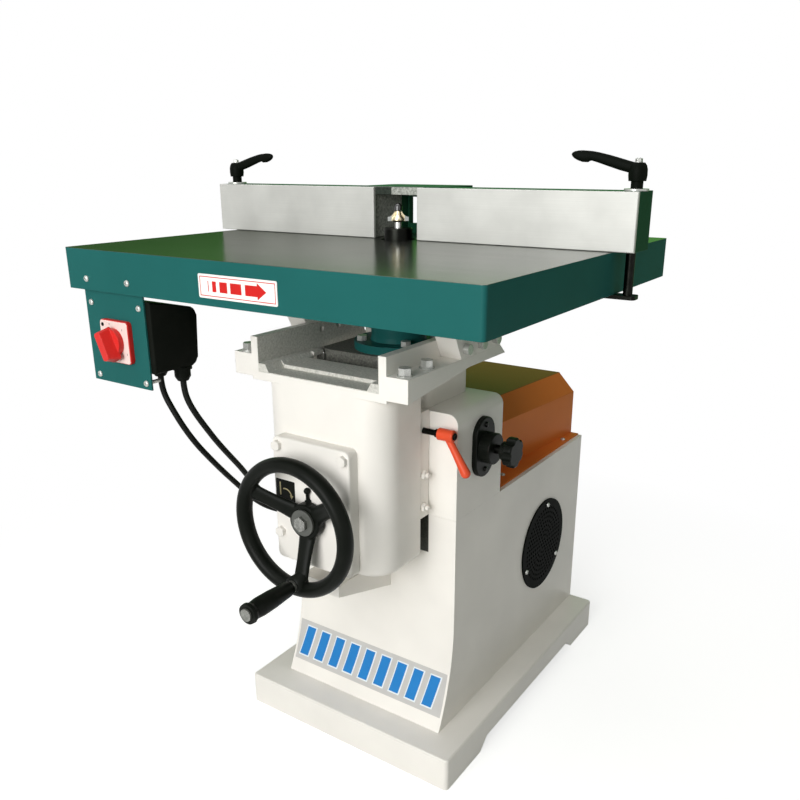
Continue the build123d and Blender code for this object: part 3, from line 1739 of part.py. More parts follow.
def tapered_arm(root, along, length, girths):
    """Round-ended arm through circles given as (share of length, radius)."""
    tip_radius = girths[-1][1]
    reach = length - tip_radius
    faces = []
    for share, radius in girths:
        faces.append(Plane(origin=root + along * (share * reach), z_dir=along) * Circle(radius))
    return loft(faces) + Pos(*(root + along * reach)) * Sphere(tip_radius)


def make_fence_body():
    """Fence casting: two channelled jaws joined by the hood behind the cutter."""
    jaws = block(fence_x0, fence_x1, fence_y0, fence_y1, fence_low, fence_high)
    hood_x0 = fence_shift - hood_half
    hood_x1 = fence_shift + hood_half
    hood = block(hood_x0, hood_x1, fence_y0 + hood_setback, hood_back, fence_low, fence_high + hood_rise)
    hood = fillet(hood.edges().filter_by(Axis.Z).group_by(Axis.Y)[-1], hood_corner)
    body = jaws + hood
    channel_low = fence_low + fence_wall
    channel_high = fence_high - fence_wall
    for x0, x1 in ((fence_x0 + fence_end, hood_x0), (hood_x1, fence_x1 - fence_end)):
        body -= block(x0, x1, fence_y0 + fence_wall, fence_y1 + overrun, channel_low, channel_high)
    inner0 = fence_shift - jaw_gap / 2
    inner1 = fence_shift + jaw_gap / 2
    ceiling = fence_high - hood_wall
    body -= block(inner0, inner1, fence_y0 - overrun, hood_back - hood_wall, fence_low - overrun, ceiling)
    body -= block(
        fence_shift - outlet_half,
        fence_shift + outlet_half,
        hood_back - hood_wall - overrun,
        hood_back + overrun,
        table_height + outlet_low,
        table_height + outlet_high,
    )
    for x in clamp_xs:
        body -= rod_z(rod_diameter / 2 + bolt_fit, x, clamp_y, fence_low - overrun, fence_high + overrun)
    return body


def fence_plate(x0, x1):
    """Flat face plate with softened ends."""
    plate = block(x0, x1, fence_face_y, fence_y0, fence_low, fence_high)
    return chamfer(plate.faces().sort_by(Axis.Y)[0].edges(), plate_bevel)


def make_left_fence_plate():
    """Infeed face plate."""
    return fence_plate(fence_x0, fence_shift - fence_gap / 2)


def make_right_fence_plate():
    """Outfeed face plate."""
    return fence_plate(fence_shift + fence_gap / 2, fence_x1)


def make_clamp_rods():
    """Rods through the fence ends, each with a hook under the table's edge."""
    hook_high = rim_low - hook_gap
    hook_low = hook_high - hook_thickness
    top = fence_high + washer_thickness + clamp_neck_height + rod_bite
    half = hook_width / 2
    rods = []
    for x, inward in zip(clamp_xs, (1, -1)):
        rod = rod_z(rod_diameter / 2, x, clamp_y, hook_low, top)
        near, far = sorted((x - inward * hook_heel, x + inward * hook_reach))
        hook = block(near, far, clamp_y - half, clamp_y + half, hook_low, hook_high)
        rods.append(rod + fillet(hook.edges().filter_by(Axis.Z), hook_corner))
    return group(*rods)


def make_clamp_washers():
    """Washers under the clamp levers."""
    high = fence_high + washer_thickness
    washers = []
    for x in clamp_xs:
        washer = rod_z(washer_diameter / 2, x, clamp_y, fence_high, high)
        hole = rod_z(rod_diameter / 2 + bolt_fit, x, clamp_y, fence_high - overrun, high + overrun)
        washers.append(washer - hole)
    return group(*washers)


def clamp_lever(x, angle):
    """Clamping lever on a rod: neck, tapered hub and rising arm."""
    low = fence_high + washer_thickness + face_gap
    hub_low = low + clamp_neck_height
    hub_high = hub_low + clamp_hub_height
    belly_low, belly_high = (hub_low + share * clamp_hub_height for share in clamp_hub_steps)
    hub = turned(
        [
            (0, low),
            (clamp_neck / 2, low),
            (clamp_neck / 2, hub_low),
            (clamp_hub_foot / 2, hub_low),
            (clamp_hub / 2, belly_low),
            (clamp_hub / 2, belly_high),
            (clamp_hub_crown / 2, hub_high),
            (0, hub_high),
        ]
    )
    flat = sqrt(clamp_arm**2 - clamp_rise**2)
    turn = radians(angle)
    along = Vector(flat * cos(turn), flat * sin(turn), clamp_rise) / clamp_arm
    root = Vector(x, clamp_y, hub_low + clamp_root * clamp_hub_height)
    lever = Pos(x, clamp_y, 0) * hub + tapered_arm(root, along, clamp_arm, clamp_girths)
    bore_top = hub_low + rod_bite + rod_bore_room
    return lever - rod_z(rod_diameter / 2 + run_fit, x, clamp_y, low - overrun, bore_top)


def make_left_clamp_lever():
    """Lever at the fence's left end."""
    return clamp_lever(clamp_xs[0], clamp_angle_left)


def make_right_clamp_lever():
    """Lever at the fence's right end."""
    return clamp_lever(clamp_xs[1], clamp_angle_right)


nodes = {
    "base_frame": make_base_frame,
    "cabinet_shell": make_cabinet_shell,
    "spindle_frame": make_spindle_frame,
    "dovetail_way": make_dovetail_way,
    "screw_bracket": make_screw_bracket,
    "elevating_screw": make_elevating_screw,
    "motor_cover": make_motor_cover,
    "vent_grille": make_vent_grille,
    "cabinet_screws": make_cabinet_screws,
    "spindle_housing": make_spindle_housing,
    "housing_bolts": make_housing_bolts,
    "spindle_bearings": make_spindle_bearings,
    "motor_body": make_motor_body,
    "motor_plate": make_motor_plate,
    "drive_belt": make_drive_belt,
    "lock_flange": make_lock_flange,
    "cable_boots": make_cable_boots,
    "spindle_shaft": make_spindle_shaft,
    "spindle_pulley": make_spindle_pulley,
    "spindle_chuck": make_spindle_chuck,
    "cutter_bit": make_cutter_bit,
    "cutter_nut": make_cutter_nut,
    "motor_shaft": make_motor_shaft,
    "motor_pulley": make_motor_pulley,
    "lock_knob": make_lock_knob,
    "lock_plunger": make_lock_plunger,
    "knee_casting": make_knee_casting,
    "gear_cover": make_gear_cover,
    "gear_cover_bolts": make_gear_cover_bolts,
    "gib_strip": make_gib_strip,
    "gib_screws": make_gib_screws,
    "flange_bolts": make_flange_bolts,
    "table_brackets": make_table_brackets,
    "bracket_bolts": make_bracket_bolts,
    "table": make_table,
    "table_ring": make_table_ring,
    "switch_panel": make_switch_panel,
    "panel_screws": make_panel_screws,
    "switch_box": make_switch_box,
    "switch_plate": make_switch_plate,
    "cable_glands": make_cable_glands,
    "cable_a": lambda: make_cable(cable_runs()[0]),
    "cable_b": lambda: make_cable(cable_runs()[1]),
    "handwheel": make_handwheel,
    "handwheel_shaft": make_handwheel_shaft,
    "bevel_pinion": make_bevel_pinion,
    "hub_bolt": make_hub_bolt,
    "handle_axle": make_handle_axle,
    "handle_grip": make_handle_grip,
    "gear_nut": make_gear_nut,
    "lock_lever": make_lock_lever,
    "lock_stud": make_lock_stud,
    "switch_knob": make_switch_knob,
    "fence_body": make_fence_body,
    "clamp_rods": make_clamp_rods,
    "clamp_washers": make_clamp_washers,
    "left_fence_plate": make_left_fence_plate,
    "right_fence_plate": make_right_fence_plate,
    "left_clamp_lever": make_left_clamp_lever,
    "right_clamp_lever": make_right_clamp_lever,
}

os.makedirs("parts", exist_ok=True)
for name, make in nodes.items():
    export_step(make(), f"parts/{name}.step")
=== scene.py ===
from math import cos, hypot, pi, radians, sin, sqrt

import bmesh
import bpy
from mathutils import Matrix, Vector


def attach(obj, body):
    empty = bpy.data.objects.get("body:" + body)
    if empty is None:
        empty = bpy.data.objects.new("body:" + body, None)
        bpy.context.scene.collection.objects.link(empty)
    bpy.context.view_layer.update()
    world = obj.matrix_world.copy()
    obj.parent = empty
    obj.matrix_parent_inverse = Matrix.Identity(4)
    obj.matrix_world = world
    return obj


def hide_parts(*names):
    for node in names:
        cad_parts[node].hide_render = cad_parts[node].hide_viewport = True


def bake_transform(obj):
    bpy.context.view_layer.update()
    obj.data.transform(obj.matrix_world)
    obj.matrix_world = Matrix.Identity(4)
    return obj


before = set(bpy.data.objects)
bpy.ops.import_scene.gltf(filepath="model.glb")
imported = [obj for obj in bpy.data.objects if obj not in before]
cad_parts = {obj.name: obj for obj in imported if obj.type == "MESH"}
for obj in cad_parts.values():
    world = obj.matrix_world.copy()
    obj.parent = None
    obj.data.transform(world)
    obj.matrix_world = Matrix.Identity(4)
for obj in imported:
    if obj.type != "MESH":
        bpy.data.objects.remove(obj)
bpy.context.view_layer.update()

bl_info = {
    "name": "Spindle moulder dressing",
    "version": (1, 0, 0),
    "blender": (4, 5, 0),
    "location": "3D View > Sidebar > Moulder",
    "description": "Finishes, cables, signs and small fittings for a packed spindle moulder",
    "category": "Object",
}

MM = 0.001

# Camera of the photograph, in the part's frame
camera_place = (0.79193, -1.15691, 1.02959)
camera_yaw = 0.6027
camera_pitch = 0.328
camera_roll = 0.0047
camera_shift = (0.0035, 0.0425)
camera_sensor = 36.0
camera_far = 60.0

# Soft lamps: place and target in metres, width in metres, and watts
lamps = {
    "key_softbox": ((0.25, -2.9, 1.45), (0, 0, 0.55), 2.0, 77),
    "top_softbox": ((-0.3, -0.6, 3.4), (0, 0, 0.6), 2.2, 26),
}

# White room: its light and tint on what isn't glossy; the floor's size and fade to white in metres, its glow,
# and the box under the base that stays dark, in millimetres
plain_white = (1, 1, 1, 1)
room_light = 0.2
room_tint = (0.95, 1.0, 0.91, 1)
floor_size = 9.0
floor_glow = 0.68
floor_fade = (0.5, 1.4)
floor_under_base = ((-205.0, -170.0, None), (205.0, 436.0, None))

# Screen that shows only in reflections, in metres: corners, where it grows brighter and how bright, and where
# it is grey
screen_corners = [(-6.0, 2.2, 0.0), (3.2, 2.2, 0.0), (3.2, 2.2, 2.6), (-6.0, 2.2, 2.6)]
screen_rise = (-2.2, -1.2)
screen_light = (0.8, 1.15)
screen_greys = 0.4

# Cable routes from the part's source, in millimetres
cable_routes = {
    "cable_a": [
        (-272, -303, 690), (-272, -303, 676), (-267, -302.5, 656), (-253, -300, 632), (-239, -292, 601),
        (-228, -278, 570), (-222.5, -257, 540), (-221, -231, 508), (-222, -202, 476), (-223.5, -174.5, 446),
        (-228, -149, 421), (-228, -121, 398), (-220.5, -97, 383), (-205, -77, 374), (-187, -62, 374),
    ],
    "cable_b": [
        (-217, -303, 690), (-217, -303, 676), (-212, -302, 656), (-202.5, -296, 633), (-197, -282, 607),
        (-196, -261, 576), (-197, -236, 545), (-200, -208, 513), (-206, -180, 479), (-213, -151, 446),
        (-219, -122, 420), (-222, -92, 399), (-217, -66, 385), (-204, -45, 378), (-187, -28, 378),
    ],
}

# Ways that a face, a screw head or a turned part can point
forwards = (0, -1, 0)
backwards = (0, 1, 0)
rightwards = (1, 0, 0)
upwards = (0, 0, 1)

# Places on the solids, in millimetres
skirt_y = -382.0
panel_y = -372.0
panel_back = -369.0
panel_screw_xs = (-335.0, -221.0)
panel_screw_zs = (699.0, 816.0)
skirt_screw_xs = (-326.0, -229.0)
skirt_screw_z = 854.5
cover_y = -250.0
hub_face = -275.0
hood_top = 588.0
hood_flange_top = 457.5
hood_flange_screws = ((142.4, 140.0), (154.7, 395.0))
ground_face = 899.6
shank_top = 928.5
cutter_core = (10.8, 11.2)
switch_centre = (-276.0, 760.0)
switch_front = -381.0
switch_face_half = 32.3
vent_back = 174.0
vent_thickness = 3.0
vent_centre = (273.0, 268.0)
vent_screw_radius = 84.0
vent_screw_angles = (83, 203, 323)
lock_face = 183.0
lock_screw_y = -7.0
lock_screw_zs = (526.0, 606.0)
lever_end = (178.0, -105.0, 611.0)
fence_top = 982.0
flare_start = 258.0
flare_front = -87.0
flare_radius = 436.4

# Areas in the enamel left as rough casting, and areas of painted shade: lowest and highest corner in
# millimetres, a dark and a pale colour, the roughness, and the depth of the pits in millimetres
raw_tray = ((-120.5, None, 701.5), (120.5, 66.0, None), "B8B6AD", "E2E0D8", 0.6, 0.5)
raw_neck = ((-110.4, None, 680.0), (110.4, 60.0, None), "4A4C46", "7C7B73", 0.6, 0.7)
# Painted shade: a dark band on the cabinet's white front below the knee's cheek, standing for the shadowed
# gap and the dark way behind it
painted_shade_below_knee = ((-120.0, -90.0, 384.0), (120.0, -84.0, 456.0), "20211D", "3A3B35", 0.5, 0.1)
# Painted shade: the belt cover's top is coloured dark olive brown instead of orange, where it lies in the
# table's shadow
painted_shade_on_cover_top = ((None, None, hood_top - 0.5), (None, None, None), "6A4822", "7C5628", 0.3, 0.03)
raw_chip_hood = ((-53.0, -1.0, 890.0), (46.0, 86.0, 984.4), "7C7F78", "CBCDC5", 0.6, 0.7)
# Painted shade: the left part of the hood roof's front edge is dark where a recessed face lies in shadow
shaded_lip = ((-53.0, -1.0, 971.0), (-14.0, 1.6, 984.2), "272D28", "3F463F", 0.6, 0.3)

# Finish of each solid
coats = {
    "white_enamel_on_casting": [
        "base_frame", "screw_bracket", "gear_cover", "gear_cover_bolts", "gib_screws", "table_brackets",
    ],
    "white_enamel_on_sheet": ["cabinet_shell"],
    "white_enamel_with_raw_tray": ["knee_casting"],
    "white_enamel_with_raw_neck": ["spindle_frame"],
    "teal_enamel_on_sheet": ["spindle_housing", "switch_panel"],
    "green_enamel_with_raw_hood": ["fence_body"],
    "orange_enamel_on_sheet": ["motor_cover"],
    "red_lever_enamel": ["lock_lever"],
    "grey_motor_enamel": ["motor_body"],
    "ground_iron_table": ["table"],
    "ground_iron_ring": ["table_ring"],
    "satin_face_plate": ["left_fence_plate", "right_fence_plate"],
    "turned_bright_steel": [
        "elevating_screw", "spindle_bearings", "spindle_shaft", "motor_shaft", "handwheel_shaft",
        "bevel_pinion",
    ],
    "bright_bolt_on_grey_washer": ["hub_bolt"],
    "dull_axle_steel": ["handle_axle"],
    "bright_zinc": [
        "housing_bolts", "flange_bolts", "bracket_bolts", "clamp_washers", "panel_screws", "cabinet_screws",
    ],
    "oiled_iron": ["dovetail_way", "motor_plate", "spindle_pulley", "motor_pulley", "gib_strip", "gear_nut"],
    "black_oxide_steel": ["spindle_chuck", "lock_stud", "lock_plunger", "clamp_rods"],
    "polished_black_nut": ["cutter_nut"],
    "black_phenolic": ["handwheel", "handle_grip", "lock_knob", "lock_flange"],
    "black_lever_nylon": ["left_clamp_lever", "right_clamp_lever"],
    "black_box_plastic": ["switch_box", "cable_glands"],
    "rubber_sheath": ["cable_boots", "cable_a", "cable_b"],
    "flat_belt_rubber": ["drive_belt"],
    "red_switch_plastic": ["switch_knob"],
    "switch_plate_plastic": ["switch_plate"],
    "black_enamel_on_sheet": ["vent_grille"],
    "gilt_cutter_with_carbide": ["cutter_bit"],
}

# Grain of the finishes, in millimetres: broad tones and dirt of enamel, grit of raw iron, peel of paint over
# metal, dust on plastic, clouds and grain of ink, and grain of the cutter
tone_size = 150
dirt_size = 9
grit_size = 4
peel_size = 4
dust_size = 45
ink_size = 30
ink_grain = 1.5
cutter_grain = 1.2

# Soft edge of an area of raw iron, of a bare face, of a second colour and of the floor's dark, in millimetres
raw_edge = 0.6
bare_edge = 0.15
colour_edge = 0.3
floor_edge = 10.0

# Print on a plate is a thin layer of ink
ink_rise = 0.15

# Feed direction sign, from its lower left corner: red rule from its outer to its inner side, bare white below
# and above the print, start and width of each bar, and the arrow's shaft, head and tip
sign_corner = (-73.0, 848.0)
sign_rounding = 2.5
sign_rise = 0.9
sign_rule = (3.0, 4.1)
sign_bare = (9.5, 9.0)
sign_bars = ((18.5, 1.4), (27.0, 7.5), (41.0, 14.5), (61.5, 20.5))
sign_arrow = (89.0, 111.0, 127.0)
sign_barb = 4.0

# Turning plate: its limits in X and Z, a bar, and an arc that ends in an arrow head
plate_limits = (-74.0, -34.0, 499.0, 534.0)
plate_rounding = 1.5
plate_rise = 0.8
plate_bar = (-66.0, -63.5, 506.0, 529.0)
plate_arc_centre = (-54.0, 506.0)
plate_arc_radii = (14.0, 12.0)
plate_arrow = [(-44.5, 510.0), (-37.5, 509.0), (-41.5, 502.5)]

# Foot band: left edge, width, lower and upper edge, and the height of its two sides over the paint; its bars,
# each a white edge and a blue fill given by width, lower and upper edge; and the columns and rows of its mesh
band_sheet = (-169.5, 339.0, 84.0, 160.0)
band_layers = (0.05, 0.3)
bar_count = 9
bar_left = -163.0
bar_pitch = 36.0
bar_lean = 0.18
bar_edge = (25.0, 92.0, 152.0)
bar_edge_layers = (0.3, 0.4)
bar_inset = 2.6
bar_fill = (20.0, 94.5, 149.5)
bar_fill_layers = (0.4, 0.5)
band_column = 12.0
band_rows = 10

# Vent guard: how many rings of holes, and sides of a hole and of the rim
vent_rings = 8
vent_hole_sides = 12
vent_rim_sides = 96

# Pan head: how far and how late its dome closes in, and its cross recess, as shares of the head
dome_fall = 0.42
dome_power = 3.0
recess_long = 0.5
recess_wide = 0.11

# Handwheel: its centre in X and Z, and the share of the rim's depth kept outside a radius
wheel_centre = (0.0, 480.0)
rim_inside = 93.0
rim_share = 0.84

# Clamp levers: place of the hub's top and angle in degrees; each section's distance out, height over the
# fence, half height and half width; and the power that squares a section
clamp_places = {"left_clamp": (-398.5, 29.0, 1022.3), "right_clamp": (391.5, 29.0, 1022.3)}
clamp_angles = {"left_clamp": 1.0, "right_clamp": 194.5}
lever_sections = [
    (3.0, 32.5, 7.6, 6.4), (13.8, 35.0, 8.1, 6.2), (26.0, 38.4, 8.3, 5.8), (39.0, 42.4, 8.0, 5.4),
    (56.0, 47.3, 7.2, 5.0), (65.5, 49.6, 6.6, 5.0), (67.5, 49.4, 6.9, 5.1), (70.5, 48.7, 7.9, 5.4),
    (78.5, 49.2, 8.0, 5.6), (85.0, 50.2, 6.8, 5.0), (90.0, 51.0, 5.0, 3.9), (93.0, 51.6, 2.9, 2.5),
    (94.4, 51.9, 0.8, 0.7),
]
lever_sides = 20
lever_squareness = 0.75

# Turned parts: how many sides, and (radius, height) points in millimetres; and turns of hexagons in radians
lever_hub = (40, [
    (0, 987.3), (8.6, 987.3), (8.6, 997.3), (12.3, 997.3), (13.3, 1005.0), (13.1, 1013.0), (11.6, 1018.5),
    (8.8, 1022.3), (0, 1022.3),
])
lever_washer = (24, [(0, 0), (5.8, 0), (5.8, 1.0), (0, 1.0)])
lever_hexagon = (6, [(0, 0.9), (5.2, 0.9), (5.2, 5.0), (4.5, 5.7), (0, 5.7)])
lever_stud = (18, [(0, 5.6), (2.6, 5.6), (2.6, 6.4), (0, 6.4)])
lock_lever_cap = (24, [(0, 0), (6.0, 0), (6.0, 1.8), (5.0, 2.6), (2.4, 2.6), (2.4, 1.2), (0, 1.2)])
oiler_base = (6, [(0, 0), (5.5, 0), (5.5, 6.0), (4.5, 7.0), (0, 7.0)])
oiler_stem = (20, [(0, 0), (2.6, 0), (2.6, 15.0), (0, 15.0)])
tail_nut = (6, [(0, 0), (4.6, 0), (4.6, 3.6), (3.9, 4.2), (0, 4.2)])
plate_screw = (24, [(0, 0), (3.0, 0), (3.0, 0.5), (1.5, 0.8), (1.5, 0.3), (0, 0.3)])
hexagon_turn = 0.4
oiler_turn = 0.5

# Oiler: foot on the gear cover, how far the stem stands off it, and the ball's base, middle and radius
oiler_foot = (-4.0, cover_y, 508.0)
oiler_stand_off = 4.5
oiler_ball = (14.0, 19.5, 5.6)
oiler_ball_sides = 24

# Thread behind the panel: crest radius, depth, first height, step from crest to root, points and end
tail_thread = (3.2, 0.3, 4.0, 0.9, 21, 22.9)
tail_thread_sides = 16

# Tray guards: each side with its apron's outer edge; limits of apron and rib in X, Y and Z on the right side
guard_edges = ((-1, 133.0), (1, 108.0))
guard_apron_inner = 94.0
guard_apron = (-93.0, -90.5, 656.0, 709.0)
guard_rib = (111.7, 119.7, -90.5, -62.5, 705.0, 714.0)

# Tray webs: outline on the right side, back and thickness
web_outline = ((52.0, 713.2), (119.4, 713.2), (119.4, 758.0), (70.0, 758.0))
web_back = 70.0
web_thickness = 6.0

# Switch box: sides in X; bottom and top at the panel, then its back corners in Y and Z; corner cut and rim
box_sides = (-341.8, -200.2)
box_low = 715.2
box_top = 826.8
box_back_top = (-277.6, 807.0)
box_back_low = (-283.0, 715.2)
box_cut = 15.0
box_cut_steps = 8
box_rim = 2.5

# Switch plate: its corner screw and index marks, from the switch's centre, with half width and half height
plate_screw_offset = (-25.5, 25.5)
index_marks = ((-9.0, 27.5), (20.0, 20.5), (27.5, -17.0))
index_half = (0.6, 1.6)
index_rise = 0.12

# Pan heads on each body: place, the way the head faces, and whether it is blacked
knee_screws = [((x, panel_y, z), forwards, False) for x in panel_screw_xs for z in panel_screw_zs]
knee_screws += [((x, skirt_y, skirt_screw_z), forwards, False) for x in skirt_screw_xs]
frame_screws = [
    ((side * x, y, hood_flange_top), upwards, False) for x, y in hood_flange_screws for side in (-1, 1)
]
vent_screws = [
    (vent_centre[0] + vent_screw_radius * cos(angle), vent_centre[1] + vent_screw_radius * sin(angle))
    for angle in map(radians, vent_screw_angles)
]
frame_screws += [((vent_back + vent_thickness, y, z), rightwards, False) for y, z in vent_screws]
frame_screws += [((lock_face, lock_screw_y, z), rightwards, True) for z in lock_screw_zs]


def linear(code):
    """Linear RGBA of an sRGB hex colour."""
    parts = [int(code[i:i + 2], 16) / 255 for i in (0, 2, 4)]
    return [c / 12.92 if c <= 0.04045 else ((c + 0.055) / 1.055) ** 2.4 for c in parts] + [1.0]


def tint(code, name, text):
    """Colour property with an sRGB default."""
    return bpy.props.FloatVectorProperty(
        name=name, description=text, subtype="COLOR", size=4, min=0.0, max=1.0, default=linear(code)
    )


def length(millimetres, name, text):
    """Length property, in metres."""
    return bpy.props.FloatProperty(name=name, description=text, unit="LENGTH", default=millimetres * MM)


class MoulderColours(bpy.types.PropertyGroup):
    """Colours of the machine's finishes."""

    white: tint("F3EFE8", "White enamel", "Coat on the castings and the cabinet")
    teal: tint("1F5C59", "Teal enamel", "Coat on the table's skirt and the switch panel")
    green: tint("1A4A34", "Green enamel", "Coat on the fence casting")
    orange: tint("E5823A", "Orange enamel", "Coat on the belt cover")
    lever: tint("E4522F", "Lever enamel", "Coat on the knee lock lever")
    red: tint("D0221C", "Red plastic", "Switch knob and the rim of its plate")
    face: tint("E3CFC8", "Switch face", "Pale face of the switch plate")
    black: tint("0F120E", "Black mouldings", "Handwheel, levers and boxes")
    sign: tint("C81F1C", "Sign red", "Print on the feed direction sign")
    band: tint("C9C7C4", "Band grey", "Ground of the foot band")
    stripe: tint("2580C8", "Band blue", "Bars of the foot band")


class MoulderSizes(bpy.types.PropertyGroup):
    """Sizes of the pieces added to the solids."""

    lens: bpy.props.FloatProperty(name="Lens", description="Focal length on a 36 mm sensor", default=36.478)
    cable: length(10.0, "Cable", "Diameter of the two cables")
    sign_length: length(146.0, "Sign length", "Length of the feed direction sign")
    sign_height: length(33.0, "Sign height", "Height of the feed direction sign")
    vent: length(96.0, "Vent radius", "Outer radius of the vent guard")
    vent_pitch: length(9.6, "Vent pitch", "Distance between rings of holes")
    vent_hole: length(5.6, "Vent hole", "Diameter of one hole")
    screw: length(10.0, "Screw head", "Diameter of a pan head")
    screw_rise: length(3.2, "Screw rise", "Height of a pan head")


def add(tree, kind, inputs=(), out=0, **settings):
    """Add a node, set its properties, and fill or link its inputs; gives one output, or the node for None."""
    node = tree.nodes.new(kind)
    for key, value in settings.items():
        setattr(node, key, value)
    for socket, value in dict(inputs).items():
        if isinstance(value, bpy.types.NodeSocket):
            tree.links.new(value, node.inputs[socket])
        else:
            node.inputs[socket].default_value = value
    return node if out is None else node.outputs[out]


def blank(name):
    """New material that holds only object coordinates; gives the material, its tree and the coordinates."""
    material = bpy.data.materials.new(name)
    if material.name != name:
        raise RuntimeError(f"{name}: the frame already has a material of this name")
    material.use_nodes = True
    tree = material.node_tree
    tree.nodes.clear()
    return material, tree, add(tree, "ShaderNodeTexCoord", out="Object")


def finish(name, **sockets):
    """New material with constant values on its shader; gives its tree, shader and object coordinates."""
    _, tree, place = blank(name)
    constants = {key.replace("_", " "): value for key, value in sockets.items()}
    shader = add(tree, "ShaderNodeBsdfPrincipled", constants, out=None)
    add(tree, "ShaderNodeOutputMaterial", {"Surface": shader.outputs["BSDF"]}, out=None)
    return tree, shader, place


def dress(tree, shader, **sources):
    """Link sources to the shader's inputs, whose names have an underscore for a space here."""
    for key, source in sources.items():
        tree.links.new(source, shader.inputs[key.replace("_", " ")])


def inside(tree, place, low, high, soft):
    """Mask that is 1 inside a box given in millimetres, with a soft edge."""
    axes = add(tree, "ShaderNodeSeparateXYZ", {"Vector": place}, out=None)
    mask = None
    for axis in range(3):
        for limit, way in ((low[axis], 1), (high[axis], -1)):
            if limit is None:
                continue
            start, end = ((limit + step * soft) * MM for step in (-way, way))
            span = {"Value": axes.outputs[axis], "From Min": start, "From Max": end}
            edge = add(tree, "ShaderNodeMapRange", span)
            if mask is None:
                mask = edge
            else:
                mask = add(tree, "ShaderNodeMath", {0: mask, 1: edge}, operation="MULTIPLY")
    return mask


def edge_mask(tree, radius):
    """Mask that grows to 1 along sharp edges, and the softened normal that goes with it."""
    soft = add(tree, "ShaderNodeBevel", {"Radius": radius * MM}, samples=6)
    true = add(tree, "ShaderNodeNewGeometry", out="Normal")
    dot = add(tree, "ShaderNodeVectorMath", {0: soft, 1: true}, operation="DOT_PRODUCT", out="Value")
    near = add(tree, "ShaderNodeMapRange", {"Value": dot, "From Min": 0.995, "From Max": 0.86})
    return near, soft


def waves(size):
    """Waves in a metre of a grain that is given in millimetres."""
    return 1 / (size * MM)


def scaled(colour, factor):
    """A linear colour made darker or lighter."""
    return [min(1.0, c * factor) for c in colour[:3]] + [1.0]


# Materials


def enamel(name, coat, lump, sand, rough, shine=0.3, wear=0.35, primer="6E6A62", rim=1.6, raw=()):
    """Enamel over iron or sheet: an even coat that shows the casting's lumps and a fine peel, thin and a
    little dirty along edges. Each raw box, if any, is left as rough casting or holds painted shade, a dark
    colour where the surface lies in shadow."""
    tree, shader, place = finish(name, IOR=1.5, Specular_IOR_Level=shine)
    patch = add(tree, "ShaderNodeTexNoise", {"Vector": place, "Scale": waves(tone_size), "Detail": 3.0})
    lumps = add(tree, "ShaderNodeTexNoise", {"Vector": place, "Scale": waves(lump), "Detail": 2.0})
    peel = add(tree, "ShaderNodeTexNoise", {"Vector": place, "Scale": waves(sand), "Detail": 3.0})
    speck = {"Vector": place, "Scale": waves(dirt_size), "Detail": 5.0, "Roughness": 0.7}
    dirt = add(tree, "ShaderNodeTexNoise", speck)
    tone = add(tree, "ShaderNodeMapRange", {"Value": patch, "From Min": 0.3, "From Max": 0.7})
    pair = {0: tone, 6: scaled(coat, 0.94), 7: scaled(coat, 1.03)}
    colour = add(tree, "ShaderNodeMix", pair, data_type="RGBA", out=2)
    near, normal = edge_mask(tree, rim)
    span = {"Value": dirt, "From Min": 0.5, "From Max": 0.62, "To Max": wear}
    chips = add(tree, "ShaderNodeMapRange", span)
    worn = add(tree, "ShaderNodeMath", {0: near, 1: chips}, operation="MULTIPLY")
    colour = add(tree, "ShaderNodeMix", {0: worn, 6: colour, 7: linear(primer)}, data_type="RGBA", out=2)
    gloss = add(tree, "ShaderNodeMapRange", {"Value": dirt, "To Min": rough - 0.07, "To Max": rough + 0.09})
    for height, depth in ((lumps, 0.012 * lump), (peel, 0.02 * sand)):
        relief = {"Height": height, "Strength": 1.0, "Distance": depth * MM, "Normal": normal}
        normal = add(tree, "ShaderNodeBump", relief)
    for low, high, dark, pale, matt, pit in raw:
        bare = inside(tree, place, low, high, raw_edge)
        speck = {"Vector": place, "Scale": waves(grit_size), "Detail": 6.0, "Roughness": 0.7}
        grit = add(tree, "ShaderNodeTexNoise", speck)
        stain = add(tree, "ShaderNodeMapRange", {"Value": grit, "From Min": 0.34, "From Max": 0.68})
        pair = {0: stain, 6: linear(dark), 7: linear(pale)}
        iron = add(tree, "ShaderNodeMix", pair, data_type="RGBA", out=2)
        colour = add(tree, "ShaderNodeMix", {0: bare, 6: colour, 7: iron}, data_type="RGBA", out=2)
        gloss = add(tree, "ShaderNodeMix", {0: bare, 2: gloss, 3: matt})
        pits = add(tree, "ShaderNodeMath", {0: grit, 1: bare}, operation="MULTIPLY")
        relief = {"Height": pits, "Strength": 1.0, "Distance": pit * MM, "Normal": normal}
        normal = add(tree, "ShaderNodeBump", relief)
    dress(tree, shader, Base_Color=colour, Roughness=gloss, Normal=normal)


